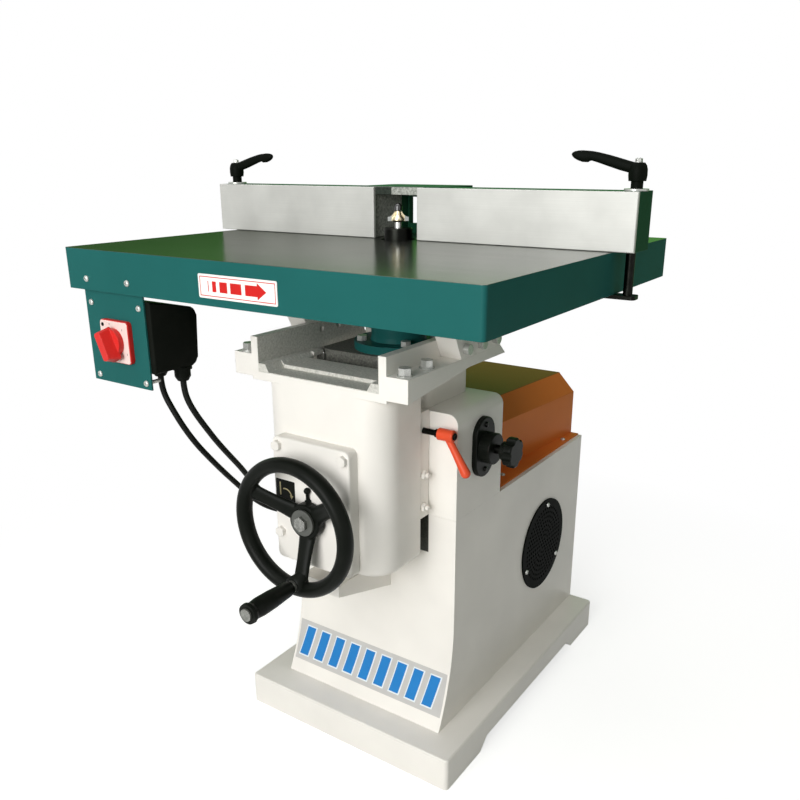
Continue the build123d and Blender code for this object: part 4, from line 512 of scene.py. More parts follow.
def ground_metal(
    name, dark, pale, stain, grain, rough,
    metallic=1.0, shine=0.5, edge="FFFFFF", painted_reflection_right=None, coat=None, bare=None,
):
    """Ground, turned or plated metal: fine streaks of tooling that stretch the reflections, with faint
    stains. The grain is the streaks' size along X, Y and Z, and edge the tint of grazing reflections. A
    second tint, if given, makes a painted reflection: the tint grows from edge on the left to it on the
    right.
    Outside the bare box, if given, the piece has a coat instead."""
    low, high = linear(dark), linear(pale)
    constants = {"Specular_IOR_Level": shine, "Metallic": metallic, "Specular_Tint": linear(edge)}
    tree, shader, place = finish(name, **constants)
    frequency = tuple(waves(size) for size in grain)
    stretch = add(tree, "ShaderNodeMapping", {"Vector": place, "Scale": frequency})
    scratch = {"Vector": stretch, "Scale": 1.0, "Detail": 6.0, "Roughness": 0.65}
    streak = add(tree, "ShaderNodeTexNoise", scratch)
    cloud = add(tree, "ShaderNodeTexNoise", {"Vector": place, "Scale": waves(stain), "Detail": 4.0})
    tone = add(tree, "ShaderNodeMapRange", {"Value": streak, "From Min": 0.28, "From Max": 0.72})
    colour = add(tree, "ShaderNodeMix", {0: tone, 6: low, 7: high}, data_type="RGBA", out=2)
    dull = add(tree, "ShaderNodeMapRange", {"Value": cloud, "From Min": 0.4, "From Max": 0.8})
    colour = add(tree, "ShaderNodeMix", {0: dull, 6: colour, 7: scaled(low, 0.85)}, data_type="RGBA", out=2)
    span = {"Value": streak, "To Min": max(0.05, rough - 0.07), "To Max": rough + 0.1}
    gloss = add(tree, "ShaderNodeMapRange", span)
    # Painted reflection: the tint of grazing reflections grows from the first tint on the left to the second
    # on the right
    if painted_reflection_right:
        along = add(tree, "ShaderNodeSeparateXYZ", {"Vector": place}, out="X")
        share = add(tree, "ShaderNodeMapRange", {"Value": along, "From Min": -0.35, "From Max": 0.25})
        pair = {0: share, 6: linear(edge), 7: linear(painted_reflection_right)}
        painted_reflection_tint = add(tree, "ShaderNodeMix", pair, data_type="RGBA", out=2)
        dress(tree, shader, Specular_Tint=painted_reflection_tint)
    normal = edge_mask(tree, 0.8)[1]
    relief = {"Height": streak, "Strength": 1.0, "Distance": 0.008 * MM, "Normal": normal}
    normal = add(tree, "ShaderNodeBump", relief)
    if coat:
        top = inside(tree, place, *bare, bare_edge)
        peel = add(tree, "ShaderNodeTexNoise", {"Vector": place, "Scale": waves(peel_size), "Detail": 3.0})
        pair = {0: dull, 6: scaled(coat, 1.03), 7: scaled(coat, 0.93)}
        paint = add(tree, "ShaderNodeMix", pair, data_type="RGBA", out=2)
        colour = add(tree, "ShaderNodeMix", {0: top, 6: paint, 7: colour}, data_type="RGBA", out=2)
        gloss = add(tree, "ShaderNodeMix", {0: top, 2: 0.36, 3: gloss})
        metal = add(tree, "ShaderNodeMath", {0: top, 1: metallic}, operation="MULTIPLY")
        dress(tree, shader, Metallic=metal)
        relief = {"Height": peel, "Strength": 1.0, "Distance": 0.04 * MM, "Normal": normal}
        normal = add(tree, "ShaderNodeBump", relief)
    dress(tree, shader, Base_Color=colour, Roughness=gloss, Normal=normal)


def moulded(name, body, grain, rough, shine=0.3, dust=0.1, inner=None, inner_colour=None):
    """Moulded plastic, phenolic or rubber: spark-eroded grain, soft parting edges and a little pale dust. An
    inner box, if given, takes a second colour."""
    tree, shader, place = finish(name, IOR=1.49, Specular_IOR_Level=shine)
    speck = {"Vector": place, "Scale": waves(grain), "Detail": 4.0, "Roughness": 0.6}
    fine = add(tree, "ShaderNodeTexNoise", speck)
    cloud = add(tree, "ShaderNodeTexNoise", {"Vector": place, "Scale": waves(dust_size), "Detail": 4.0})
    span = {"Value": cloud, "From Min": 0.45, "From Max": 0.8, "To Max": dust}
    settle = add(tree, "ShaderNodeMapRange", span)
    near, normal = edge_mask(tree, 1.2)
    rub = add(tree, "ShaderNodeMath", {0: near, 1: 0.3}, operation="MULTIPLY")
    layers = [(settle, linear("6F6D64")), (rub, scaled(body, 1.8))]
    if inner:
        layers.append((inside(tree, place, *inner, colour_edge), inner_colour))
    colour = body
    for share, layer in layers:
        colour = add(tree, "ShaderNodeMix", {0: share, 6: colour, 7: layer}, data_type="RGBA", out=2)
    gloss = add(tree, "ShaderNodeMapRange", {"Value": cloud, "To Min": rough - 0.06, "To Max": rough + 0.1})
    relief = {"Height": fine, "Strength": 1.0, "Distance": 0.05 * grain * MM, "Normal": normal}
    normal = add(tree, "ShaderNodeBump", relief)
    dress(tree, shader, Base_Color=colour, Roughness=gloss, Normal=normal)


def printed(name, body, rough=0.35):
    """Printed vinyl or a screen-printed plate: flat ink with a slight sheen, faintly uneven."""
    tree, shader, place = finish(name, IOR=1.45, Specular_IOR_Level=0.25)
    cloud = add(tree, "ShaderNodeTexNoise", {"Vector": place, "Scale": waves(ink_size), "Detail": 3.0})
    fine = add(tree, "ShaderNodeTexNoise", {"Vector": place, "Scale": waves(ink_grain), "Detail": 2.0})
    tone = add(tree, "ShaderNodeMapRange", {"Value": cloud, "From Min": 0.3, "From Max": 0.7})
    colour = add(tree, "ShaderNodeMix", {0: tone, 6: scaled(body, 0.95), 7: body}, data_type="RGBA", out=2)
    gloss = add(tree, "ShaderNodeMapRange", {"Value": cloud, "To Min": rough - 0.05, "To Max": rough + 0.1})
    relief = {"Height": fine, "Strength": 1.0, "Distance": 0.01 * MM}
    normal = add(tree, "ShaderNodeBump", relief)
    dress(tree, shader, Base_Color=colour, Roughness=gloss, Normal=normal)


def cutter_steel(name):
    """Moulding cutter: gilt coating on the core, bare grey carbide on the wings, bright ground shank."""
    tree, shader, place = finish(name, Metallic=1.0)
    flat = add(tree, "ShaderNodeVectorMath", {0: place, 1: (1.0, 1.0, 0.0)}, operation="MULTIPLY")
    reach = add(tree, "ShaderNodeVectorMath", {0: flat}, operation="LENGTH", out="Value")
    near, far = (radius * MM for radius in cutter_core)
    wing = add(tree, "ShaderNodeMapRange", {"Value": reach, "From Min": near, "From Max": far})
    shank = inside(tree, place, (None, None, None), (None, None, shank_top), colour_edge)
    grain = add(tree, "ShaderNodeTexNoise", {"Vector": place, "Scale": waves(cutter_grain), "Detail": 4.0})
    colour = linear("C9B487")
    for share, layer in ((grain, "EFE6CC"), (wing, "A9ACA9"), (shank, "D4D5D2")):
        colour = add(tree, "ShaderNodeMix", {0: share, 6: colour, 7: linear(layer)}, data_type="RGBA", out=2)
    gloss = add(tree, "ShaderNodeMapRange", {"Value": grain, "To Min": 0.2, "To Max": 0.42})
    normal = add(tree, "ShaderNodeBump", {"Height": grain, "Strength": 1.0, "Distance": 0.02 * MM})
    dress(tree, shader, Base_Color=colour, Roughness=gloss, Normal=normal)


# Mesh helpers


def new_piece(name, mesh, materials, body, replaced=()):
    """Object for a finished mesh, riding on a body."""
    piece = bpy.data.objects.new(name, mesh)
    bpy.context.scene.collection.objects.link(piece)
    for material in materials:
        mesh.materials.append(bpy.data.materials[material])
    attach(piece, body)
    if replaced:
        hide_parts(*replaced)


def skin(form, low, high):
    """Faces between two rings of as many points in a bmesh."""
    ring = list(zip(low, high))
    return [form.faces.new((a, b, d, c)) for (a, c), (b, d) in zip(ring, ring[1:] + ring[:1])]


def flat_plate(form, outline, base, thick, material):
    """Add a thin upright plate to a bmesh: an outline in X and Z, its back at Y = base, in millimetres."""
    back = [form.verts.new(Vector((x, base, z)) * MM) for x, z in outline]
    front = [form.verts.new(Vector((x, base - thick, z)) * MM) for x, z in outline]
    for face in (form.faces.new(back), form.faces.new(front), *skin(form, back, front)):
        face.material_index = material


def box_outline(x0, x1, z0, z1):
    """Outline of a rectangle in X and Z."""
    return [(x0, z0), (x1, z0), (x1, z1), (x0, z1)]


def rounded_box(x0, x1, z0, z1, radius, steps=5):
    """Outline of a rounded rectangle in X and Z."""
    points = []
    corners = (
        (x1 - radius, z1 - radius, 0),
        (x0 + radius, z1 - radius, 90),
        (x0 + radius, z0 + radius, 180),
        (x1 - radius, z0 + radius, 270),
    )
    for x, z, start in corners:
        for k in range(steps + 1):
            a = radians(start + 90 * k / steps)
            points.append((x + radius * cos(a), z + radius * sin(a)))
    return points


def to_mesh(form, name, smooth=False):
    """Close a bmesh into a mesh with outward faces."""
    bmesh.ops.remove_doubles(form, verts=form.verts, dist=1e-6)
    bmesh.ops.recalc_face_normals(form, faces=form.faces)
    mesh = bpy.data.meshes.new(name)
    form.to_mesh(mesh)
    form.free()
    mesh.polygons.foreach_set("use_smooth", [smooth] * len(mesh.polygons))
    if smooth:
        mesh.set_sharp_from_angle(angle=radians(40))
    return mesh


def turned_form(form, sides, profile, place, axis, start=0.0):
    """Revolve (radius, height) points about an axis through a place, in millimetres, into a closed form."""
    matrix = Matrix.Translation(place) @ Vector(axis).to_track_quat("Z", "Y").to_matrix().to_4x4()
    rings = []
    for radius, height in profile:
        if radius == 0:
            rings.append([form.verts.new(matrix @ Vector((0, 0, height)) * MM)])
            continue
        turn = (start + 2 * pi * k / sides for k in range(sides))
        points = (Vector((radius * cos(a), radius * sin(a), height)) for a in turn)
        rings.append([form.verts.new(matrix @ point * MM) for point in points])
    for low, high in zip(rings, rings[1:]):
        for k in range(sides):
            n = (k + 1) % sides
            ring = [low[k % len(low)], low[n % len(low)], high[n % len(high)], high[k % len(high)]]
            corners = list(dict.fromkeys(ring))
            if len(corners) > 2:
                form.faces.new(corners)


def drawn(maker):
    """Plain mesh of an object as it is drawn, with its bevel or modifiers; the object itself is removed."""
    bpy.context.scene.collection.objects.link(maker)
    bpy.context.view_layer.update()
    graph = bpy.context.evaluated_depsgraph_get()
    mesh = bpy.data.meshes.new_from_object(maker.evaluated_get(graph), depsgraph=graph)
    maker.modifiers.clear()
    bpy.data.objects.remove(maker)
    return mesh


def grown(tree, name, mesh, settings):
    """Run a geometry tree on a mesh and keep the result as a plain mesh."""
    maker = bpy.data.objects.new(name + "_maker", mesh)
    modifier = maker.modifiers.new("grow", "NODES")
    modifier.node_group = tree
    for item in tree.interface.items_tree:
        if item.item_type == "SOCKET" and item.in_out == "INPUT" and item.name in settings:
            modifier[item.identifier] = settings[item.name]
    result = drawn(maker)
    result.name = name
    if not result.polygons:
        raise RuntimeError(f"{name}: the geometry tree gave no faces")
    return result


def geometry_tree(name, sockets):
    """Empty geometry tree with named inputs; gives the tree and its inputs."""
    tree = bpy.data.node_groups.new(name, "GeometryNodeTree")
    tree.interface.new_socket("Geometry", in_out="INPUT", socket_type="NodeSocketGeometry")
    for label, kind in sockets.items():
        tree.interface.new_socket(label, in_out="INPUT", socket_type=kind)
    tree.interface.new_socket("Geometry", in_out="OUTPUT", socket_type="NodeSocketGeometry")
    return tree, add(tree, "NodeGroupInput", out=None).outputs


# Operators


class MOULDER_OT_stage(bpy.types.Operator):
    """Camera, floor, plain white surroundings and soft lights"""

    bl_idname = "moulder.stage"
    bl_label = "Stage"

    def execute(self, context):
        scene = context.scene
        scene.view_settings.view_transform = "Standard"
        self.camera(scene)
        self.surroundings(scene)
        self.floor(scene)
        self.backdrop(scene)
        for name, settings in lamps.items():
            self.lamp(scene, name, *settings)
        return {"FINISHED"}

    def camera(self, scene):
        """Camera at the photograph's place, with its yaw, pitch, roll and shift."""
        lens = bpy.data.cameras.new("photo_camera")
        lens.lens = scene.moulder_sizes.lens
        lens.sensor_width = camera_sensor
        lens.sensor_fit = "HORIZONTAL"
        lens.shift_x, lens.shift_y = camera_shift
        lens.clip_end = camera_far
        camera = bpy.data.objects.new("photo_camera", lens)
        right = Vector((cos(camera_yaw), sin(camera_yaw), 0))
        level = Vector((-sin(camera_yaw), cos(camera_yaw), 0))
        ahead = cos(camera_pitch) * level - Vector((0, 0, sin(camera_pitch)))
        down = ahead.cross(right)
        rolled_right = cos(camera_roll) * right + sin(camera_roll) * down
        rolled_down = cos(camera_roll) * down - sin(camera_roll) * right
        turn = Matrix((rolled_right, -rolled_down, -ahead)).transposed().to_4x4()
        camera.matrix_world = Matrix.Translation(camera_place) @ turn
        scene.collection.objects.link(camera)
        scene.camera = camera

    def seen(self, tree):
        """1 for camera, glossy and transmission rays."""
        path = add(tree, "ShaderNodeLightPath", out=None)
        pair = {0: path.outputs["Is Camera Ray"], 1: path.outputs["Is Glossy Ray"]}
        first = add(tree, "ShaderNodeMath", pair, operation="MAXIMUM")
        pair = {0: first, 1: path.outputs["Is Transmission Ray"]}
        return add(tree, "ShaderNodeMath", pair, operation="MAXIMUM")

    def surroundings(self, scene):
        """White room that lights the object softly, with a trace of green in the shade."""
        world = bpy.data.worlds.new("white_room")
        world.use_nodes = True
        tree = world.node_tree
        tree.nodes.clear()
        seen = self.seen(tree)
        level = add(tree, "ShaderNodeMapRange", {"Value": seen, "To Min": room_light, "To Max": 1.0})
        pair = {0: seen, 6: room_tint, 7: plain_white}
        tone = add(tree, "ShaderNodeMix", pair, data_type="RGBA", out=2)
        light = add(tree, "ShaderNodeBackground", {"Color": tone, "Strength": level})
        add(tree, "ShaderNodeOutputWorld", {"Surface": light}, out=None)
        scene.world = world

    def floor(self, scene):
        """Pale floor that keeps the shadow near the object, is white farther off and dark under the base."""
        form = bmesh.new()
        bmesh.ops.create_grid(form, x_segments=8, y_segments=8, size=floor_size)
        mesh = bpy.data.meshes.new("floor")
        form.to_mesh(mesh)
        form.free()
        floor = bpy.data.objects.new("floor", mesh)
        scene.collection.objects.link(floor)
        material, tree, place = blank("pale_floor")
        reach = add(tree, "ShaderNodeVectorMath", {0: place}, operation="LENGTH", out="Value")
        seen = self.seen(tree)
        near, far = floor_fade
        fade = add(tree, "ShaderNodeMapRange", {"Value": reach, "From Min": near, "From Max": far})
        share = add(tree, "ShaderNodeMath", {0: fade, 1: seen}, operation="MULTIPLY")
        under = inside(tree, place, *floor_under_base, floor_edge)
        lit = add(tree, "ShaderNodeMapRange", {"Value": under, "To Min": floor_glow, "To Max": 0.0})
        lift = add(tree, "ShaderNodeMath", {0: seen, 1: lit}, operation="MULTIPLY")
        matte = add(tree, "ShaderNodeBsdfDiffuse", {"Color": linear("CFCFCC")})
        glow = add(tree, "ShaderNodeEmission", {"Color": plain_white, "Strength": lift})
        close = add(tree, "ShaderNodeAddShader", {0: matte, 1: glow})
        white = add(tree, "ShaderNodeEmission", {"Color": plain_white, "Strength": 1.0})
        mixed = add(tree, "ShaderNodeMixShader", {0: share, 1: close, 2: white})
        add(tree, "ShaderNodeOutputMaterial", {"Surface": mixed}, out=None)
        mesh.materials.append(material)

    def backdrop(self, scene):
        """Green screen behind the object, greyer on the right, that shows only in reflections."""
        mesh = bpy.data.meshes.new("backdrop")
        mesh.from_pydata(screen_corners, [], [(0, 1, 2, 3)])
        material, tree, place = blank("green_screen")
        along = add(tree, "ShaderNodeSeparateXYZ", {"Vector": place}, out="X")
        span = {
            "Value": along, "From Min": screen_rise[0], "From Max": screen_rise[1],
            "To Min": screen_light[0], "To Max": screen_light[1],
        }
        level = add(tree, "ShaderNodeMapRange", span)
        right = add(tree, "ShaderNodeMapRange", {"Value": along, "From Max": screen_greys})
        pair = {0: right, 6: linear("5C9E4C"), 7: linear("5F8558")}
        colour = add(tree, "ShaderNodeMix", pair, data_type="RGBA", out=2)
        glow = add(tree, "ShaderNodeEmission", {"Color": colour, "Strength": level})
        add(tree, "ShaderNodeOutputMaterial", {"Surface": glow}, out=None)
        mesh.materials.append(material)
        screen = bpy.data.objects.new("backdrop", mesh)
        scene.collection.objects.link(screen)
        screen.visible_camera = False
        screen.visible_diffuse = False
        screen.visible_transmission = False
        screen.visible_volume_scatter = False
        screen.visible_shadow = False

    def lamp(self, scene, name, place, target, size, power):
        """Round soft lamp turned towards a target."""
        data = bpy.data.lights.new(name, "AREA")
        data.shape = "DISK"
        data.size = size
        data.energy = power
        lamp = bpy.data.objects.new(name, data)
        lamp.location = place
        aim = Vector(target) - Vector(place)
        lamp.rotation_euler = aim.to_track_quat("-Z", "Y").to_euler()
        scene.collection.objects.link(lamp)


class MOULDER_OT_finishes(bpy.types.Operator):
    """Finishes on the solids"""

    bl_idname = "moulder.finishes"
    bl_label = "Finishes"

    def execute(self, context):
        colours = context.scene.moulder_colours
        self.enamels(colours)
        self.metals(colours)
        self.mouldings(colours)
        cutter_steel("gilt_cutter_with_carbide")
        for material, names in coats.items():
            for name in names:
                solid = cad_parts[name]
                solid.data.materials.clear()
                solid.data.materials.append(bpy.data.materials[material])
        return {"FINISHED"}

    def enamels(self, c):
        """Enamels: coat, size of the lumps and of the peel in millimetres, and roughness."""
        casting = (c.white, 26, 2.6, 0.36)
        enamel("white_enamel_on_casting", *casting)
        # The cabinet sheet carries a band of painted shade below the knee
        enamel("white_enamel_on_sheet", c.white, 160, 4.0, 0.34, wear=0.25, rim=0.8, raw=[painted_shade_below_knee])
        enamel("white_enamel_with_raw_tray", *casting, raw=[raw_tray])
        enamel("white_enamel_with_raw_neck", *casting, raw=[raw_neck])
        enamel("teal_enamel_on_sheet", c.teal, 60, 4.0, 0.34, shine=0.05, primer="9AA39C", rim=0.8)
        fence = {"shine": 0.05, "primer": "4A4F49", "raw": [raw_chip_hood, shaded_lip]}
        enamel("green_enamel_with_raw_hood", c.green, 22, 2.4, 0.36, **fence)
        # The belt cover's top carries painted shade, a dark brown over the orange
        cover = {"shine": 0.06, "primer": "7A4A2A", "rim": 0.7, "raw": [painted_shade_on_cover_top]}
        enamel("orange_enamel_on_sheet", c.orange, 170, 4.0, 0.3, **cover)
        enamel("red_lever_enamel", c.lever, 30, 2.0, 0.32, shine=0.25, primer="7A3326")
        guard = {"shine": 0.01, "primer": "2B2D29", "rim": 0.5}
        enamel("black_enamel_on_sheet", linear("0A0D0A"), 80, 3.0, 0.45, **guard)
        enamel("grey_motor_enamel", linear("5B6264"), 20, 2.4, 0.45)

    def metals(self, c):
        """Metals: dark and pale tone, size of the stains and of the grain in millimetres, and roughness."""
        table_face = ((None, None, ground_face), (None, None, None))
        bolt_head = ((None, None, None), (None, hub_face - 0.4, None))
        iron = ("565953", "72756E", 110, (420, 1.4, 3.0), 0.2)
        # The table and its ring get a painted reflection: grazing reflections are dim grey-green on the left
        # and white on the right
        ground = {"metallic": 0.95, "shine": 0.06, "edge": "A0A49A", "painted_reflection_right": "FFFFFF"}
        ground_metal("ground_iron_table", *iron, **ground, coat=c.teal, bare=table_face)
        ground_metal("ground_iron_ring", *iron, **ground)
        plate = ("C9C9C4", "D3D3CE", 90, (160, 30, 1.3), 0.5)
        ground_metal("satin_face_plate", *plate, metallic=0.35, shine=0.3)
        ground_metal("turned_bright_steel", "8F908E", "C2C3C0", 30, (3, 3, 1.2), 0.28)
        bolt = ("7A7B76", "B4B5B0", 9, (2, 2, 2), 0.2)
        ground_metal("bright_bolt_on_grey_washer", *bolt, coat=linear("4E504B"), bare=bolt_head)
        ground_metal("bright_zinc", "B4B5B0", "D6D7D2", 12, (2, 2, 2), 0.28, metallic=0.5)
        ground_metal("dull_axle_steel", "6E6F6A", "A4A59F", 9, (2, 2, 2), 0.3, metallic=0.7)
        ground_metal("oiled_iron", "3E3F3B", "6B6C66", 25, (2.5, 2.5, 2.5), 0.42)
        ground_metal("black_oxide_steel", "131412", "272825", 18, (2, 2, 1.2), 0.3)
        ground_metal("polished_black_nut", "121311", "1D1E1B", 18, (2, 2, 2), 0.14, metallic=0.0, shine=0.9)

    def mouldings(self, c):
        """Plastics and rubbers: colour, size of the grain in millimetres, and roughness."""
        moulded("black_phenolic", c.black, 1.4, 0.36, shine=0.08, dust=0.02)
        moulded("black_lever_nylon", linear("0A0E09"), 1.4, 0.5, shine=0.04, dust=0.0)
        moulded("black_box_plastic", c.black, 1.2, 0.42, shine=0.04, dust=0.02)
        moulded("rubber_sheath", linear("0D0F0C"), 6.0, 0.45, shine=0.12, dust=0.02)
        moulded("red_switch_plastic", c.red, 1.6, 0.3, shine=0.35, dust=0.03)
        x, z = switch_centre
        half = switch_face_half
        face = ((x - half, switch_front - 1.0, z - half), (x + half, switch_front + 0.8, z + half))
        moulded("switch_plate_plastic", c.red, 1.6, 0.3, dust=0.03, inner=face, inner_colour=c.face)
        moulded("flat_belt_rubber", linear("22221F"), 1.2, 0.6)


class MOULDER_OT_cables(bpy.types.Operator):
    """Two rubber cables from the switch box to the cabinet"""

    bl_idname = "moulder.cables"
    bl_label = "Cables"

    def execute(self, context):
        diameter = context.scene.moulder_sizes.cable
        for name, route in cable_routes.items():
            curve = bpy.data.curves.new(name + "_route", "CURVE")
            curve.dimensions = "3D"
            curve.bevel_resolution = 5
            curve.resolution_u = 14
            curve.use_fill_caps = True
            spline = curve.splines.new("NURBS")
            spline.points.add(len(route) - 1)
            for point, place in zip(spline.points, route):
                point.co = (*(c * MM for c in place), 1.0)
            spline.order_u = 3
            spline.use_endpoint_u = True
            line = drawn(bpy.data.objects.new("route_maker", curve))
            curve.bevel_depth = diameter / 2
            form = bmesh.new()
            form.from_mesh(drawn(bpy.data.objects.new("sheath_maker", curve)))
            mesh = to_mesh(form, name + "_sheath", smooth=True)
            mesh.materials.append(bpy.data.materials["rubber_sheath"])
            cable = bpy.data.objects.new(name + "_sheath", mesh)
            context.scene.collection.objects.link(cable)
            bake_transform(cable)
            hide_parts(name)
        return {"FINISHED"}


class MOULDER_OT_signs(bpy.types.Operator):
    """Feed direction sign, turning plate and foot band"""

    bl_idname = "moulder.signs"
    bl_label = "Signs"

    def execute(self, context):
        colours = context.scene.moulder_colours
        sizes = context.scene.moulder_sizes
        printed("white_sign_vinyl", linear("F2F0EC"))
        printed("red_sign_ink", colours.sign)
        printed("black_plate_ink", linear("121410"))
        printed("gilt_plate_ink", linear("B9AE86"))
        printed("grey_band_vinyl", colours.band)
        printed("blue_band_ink", colours.stripe)
        printed("white_band_ink", linear("E6EEF2"))
        self.feed_sign(sizes.sign_length / MM, sizes.sign_height / MM)
        self.turn_plate()
        self.foot_band()
        return {"FINISHED"}

    def feed_sign(self, long, high):
        """White plate with a thin red frame, growing bars and an arrow."""
        form = bmesh.new()
        x0, z0 = sign_corner
        plate = rounded_box(x0, x0 + long, z0, z0 + high, sign_rounding)
        flat_plate(form, plate, skirt_y, sign_rise, 0)
        front = skirt_y - sign_rise
        outer, inner = sign_rule
        for a, b, c, d in (
            (outer, outer, long - outer, inner),
            (outer, high - inner, long - outer, high - outer),
            (outer, inner, inner, high - inner),
            (long - inner, inner, long - outer, high - inner),
        ):
            flat_plate(form, box_outline(x0 + a, x0 + c, z0 + b, z0 + d), front, ink_rise, 1)
        low, top = z0 + sign_bare[0], z0 + high - sign_bare[1]
        for start, width in sign_bars:
            near = x0 + start
            flat_plate(form, box_outline(near, near + width, low, top), front, ink_rise, 1)
        shaft, head, tip = (x0 + reach for reach in sign_arrow)
        barbs = [(head, low - sign_barb), (tip, (low + top) / 2), (head, top + sign_barb)]
        arrow = [(shaft, low), (head, low), *barbs, (head, top), (shaft, top)]
        flat_plate(form, arrow, front, ink_rise, 1)
        mesh = to_mesh(form, "feed_sign")
        new_piece("feed_sign", mesh, ["white_sign_vinyl", "red_sign_ink"], "knee")

    def turn_plate(self):
        """Black plate by the handwheel with a bent arrow."""
        form = bmesh.new()
        flat_plate(form, rounded_box(*plate_limits, plate_rounding), cover_y, plate_rise, 0)
        x, z = plate_arc_centre
        arc = []
        for radius, turns in zip(plate_arc_radii, (range(110, 9, -10), range(10, 111, 10))):
            arc += [(x + radius * cos(radians(a)), z + radius * sin(radians(a))) for a in turns]
        for outline in (box_outline(*plate_bar), arc, plate_arrow):
            flat_plate(form, outline, cover_y - plate_rise, ink_rise, 1)
        mesh = to_mesh(form, "turn_plate")
        new_piece("turn_plate", mesh, ["black_plate_ink", "gilt_plate_ink"], "knee")

    def on_flare(self, x, z, layer):
        """Point over the cabinet's flared foot, a layer's thickness off its face."""
        drop = flare_start - z
        back = sqrt(flare_radius**2 - drop**2)
        face = Vector((x, flare_front - flare_radius + back, z))
        out = Vector((0, -back, drop)) / flare_radius
        return (face + out * layer) * MM

    def patch(self, form, corner, width, z0, z1, lean, layers, material):
        """Thin sheet on the flare: lower left X, width, heights, lean of its sides, and its two layers."""
        columns = max(1, round(width / band_column))
        rows = band_rows
        sheets = []
        for layer in layers:
            sheet = []
            for r in range(rows + 1):
                z = z0 + (z1 - z0) * r / rows
                shift = lean * (z - z0)
                row = [corner + shift + width * k / columns for k in range(columns + 1)]
                sheet.append([form.verts.new(self.on_flare(x, z, layer)) for x in row])
            sheets.append(sheet)
        faces = []
        for r in range(rows):
            for k in range(columns):
                for sheet in sheets:
                    quad = (sheet[r][k], sheet[r][k + 1], sheet[r + 1][k + 1], sheet[r + 1][k])
                    faces.append(form.faces.new(quad))
        rim = [(0, k) for k in range(columns)] + [(r, columns) for r in range(rows)]
        rim += [(rows, columns - k) for k in range(columns)] + [(rows - r, 0) for r in range(rows)]
        low, high = sheets
        for (r0, k0), (r1, k1) in zip(rim, rim[1:] + rim[:1]):
            faces.append(form.faces.new((low[r0][k0], low[r1][k1], high[r1][k1], high[r0][k0])))
        for face in faces:
            face.material_index = material

    def foot_band(self):
        """Grey vinyl band on the flared foot with slanted blue bars, each with a white edge."""
        form = bmesh.new()
        self.patch(form, *band_sheet, 0.0, band_layers, 0)
        for k in range(bar_count):
            left = bar_left + bar_pitch * k
            self.patch(form, left, *bar_edge, bar_lean, bar_edge_layers, 2)
            self.patch(form, left + bar_inset, *bar_fill, bar_lean, bar_fill_layers, 1)
        mesh = to_mesh(form, "foot_band", smooth=True)
        inks = ["grey_band_vinyl", "blue_band_ink", "white_band_ink"]
        new_piece("foot_band", mesh, inks, "frame")


class MOULDER_OT_vent(bpy.types.Operator):
    """Perforated vent guard on the cabinet's right side"""

    bl_idname = "moulder.vent"
    bl_label = "Vent guard"

    def execute(self, context):
        sizes = context.scene.moulder_sizes
        settings = {
            "Radius": sizes.vent,
            "Pitch": sizes.vent_pitch,
            "Hole": sizes.vent_hole,
            "Thickness": vent_thickness * MM,
            "Material": bpy.data.materials["black_enamel_on_sheet"],
        }
        mesh = grown(self.guard_tree(), "vent_guard", bpy.data.meshes.new("vent_seed"), settings)
        y, z = vent_centre
        place = ((0, 0, 1, vent_back * MM), (1, 0, 0, y * MM), (0, 1, 0, z * MM), (0, 0, 0, 1))
        mesh.transform(Matrix(place))
        new_piece("vent_guard", mesh, [], "frame", replaced=["vent_grille"])
        return {"FINISHED"}

    def guard_tree(self):
        """Round sheet with a hole in its middle and rings of holes round it."""
        sockets = dict.fromkeys(("Radius", "Pitch", "Hole", "Thickness"), "NodeSocketFloat")
        sockets["Material"] = "NodeSocketMaterial"
        tree, given = geometry_tree("perforated_guard", sockets)
        half = add(tree, "ShaderNodeMath", {0: given["Hole"], 1: 0.5}, operation="MULTIPLY")
        hole = {"Resolution": vent_hole_sides, "Radius": half}
        ring = add(tree, "GeometryNodeCurvePrimitiveCircle", hole)
        rim = {"Resolution": vent_rim_sides, "Radius": given["Radius"]}
        outer = add(tree, "GeometryNodeCurvePrimitiveCircle", rim)
        joined = add(tree, "GeometryNodeJoinGeometry", {"Geometry": outer}, out=None)
        for row in range(1, vent_rings + 1):
            pair = {0: given["Pitch"], 1: float(row)}
            reach = add(tree, "ShaderNodeMath", pair, operation="MULTIPLY")
            circle = add(tree, "GeometryNodeMeshCircle", {"Vertices": 6 * row, "Radius": reach})
            spread = {"Points": circle, "Instance": ring}
            holes = add(tree, "GeometryNodeInstanceOnPoints", spread)
            real = add(tree, "GeometryNodeRealizeInstances", {"Geometry": holes})
            tree.links.new(real, joined.inputs[0])
        tree.links.new(ring, joined.inputs[0])
        filled = add(tree, "GeometryNodeFillCurve", {"Curve": joined.outputs[0]})
        thick = {"Mesh": filled, "Offset Scale": given["Thickness"], "Individual": False}
        sheet = add(tree, "GeometryNodeExtrudeMesh", thick)
        back = add(tree, "GeometryNodeFlipFaces", {"Mesh": filled})
        both = add(tree, "GeometryNodeJoinGeometry", {"Geometry": sheet}, out=None)
        tree.links.new(back, both.inputs[0])
        merged = {"Geometry": both.outputs[0], "Distance": 1e-5}
        shut = add(tree, "GeometryNodeMergeByDistance", merged)
        real = add(tree, "GeometryNodeRealizeInstances", {"Geometry": shut})
        coat = {"Geometry": real, "Material": given["Material"]}
        done = add(tree, "GeometryNodeSetMaterial", coat)
        add(tree, "NodeGroupOutput", {"Geometry": done}, out=None)
        return tree


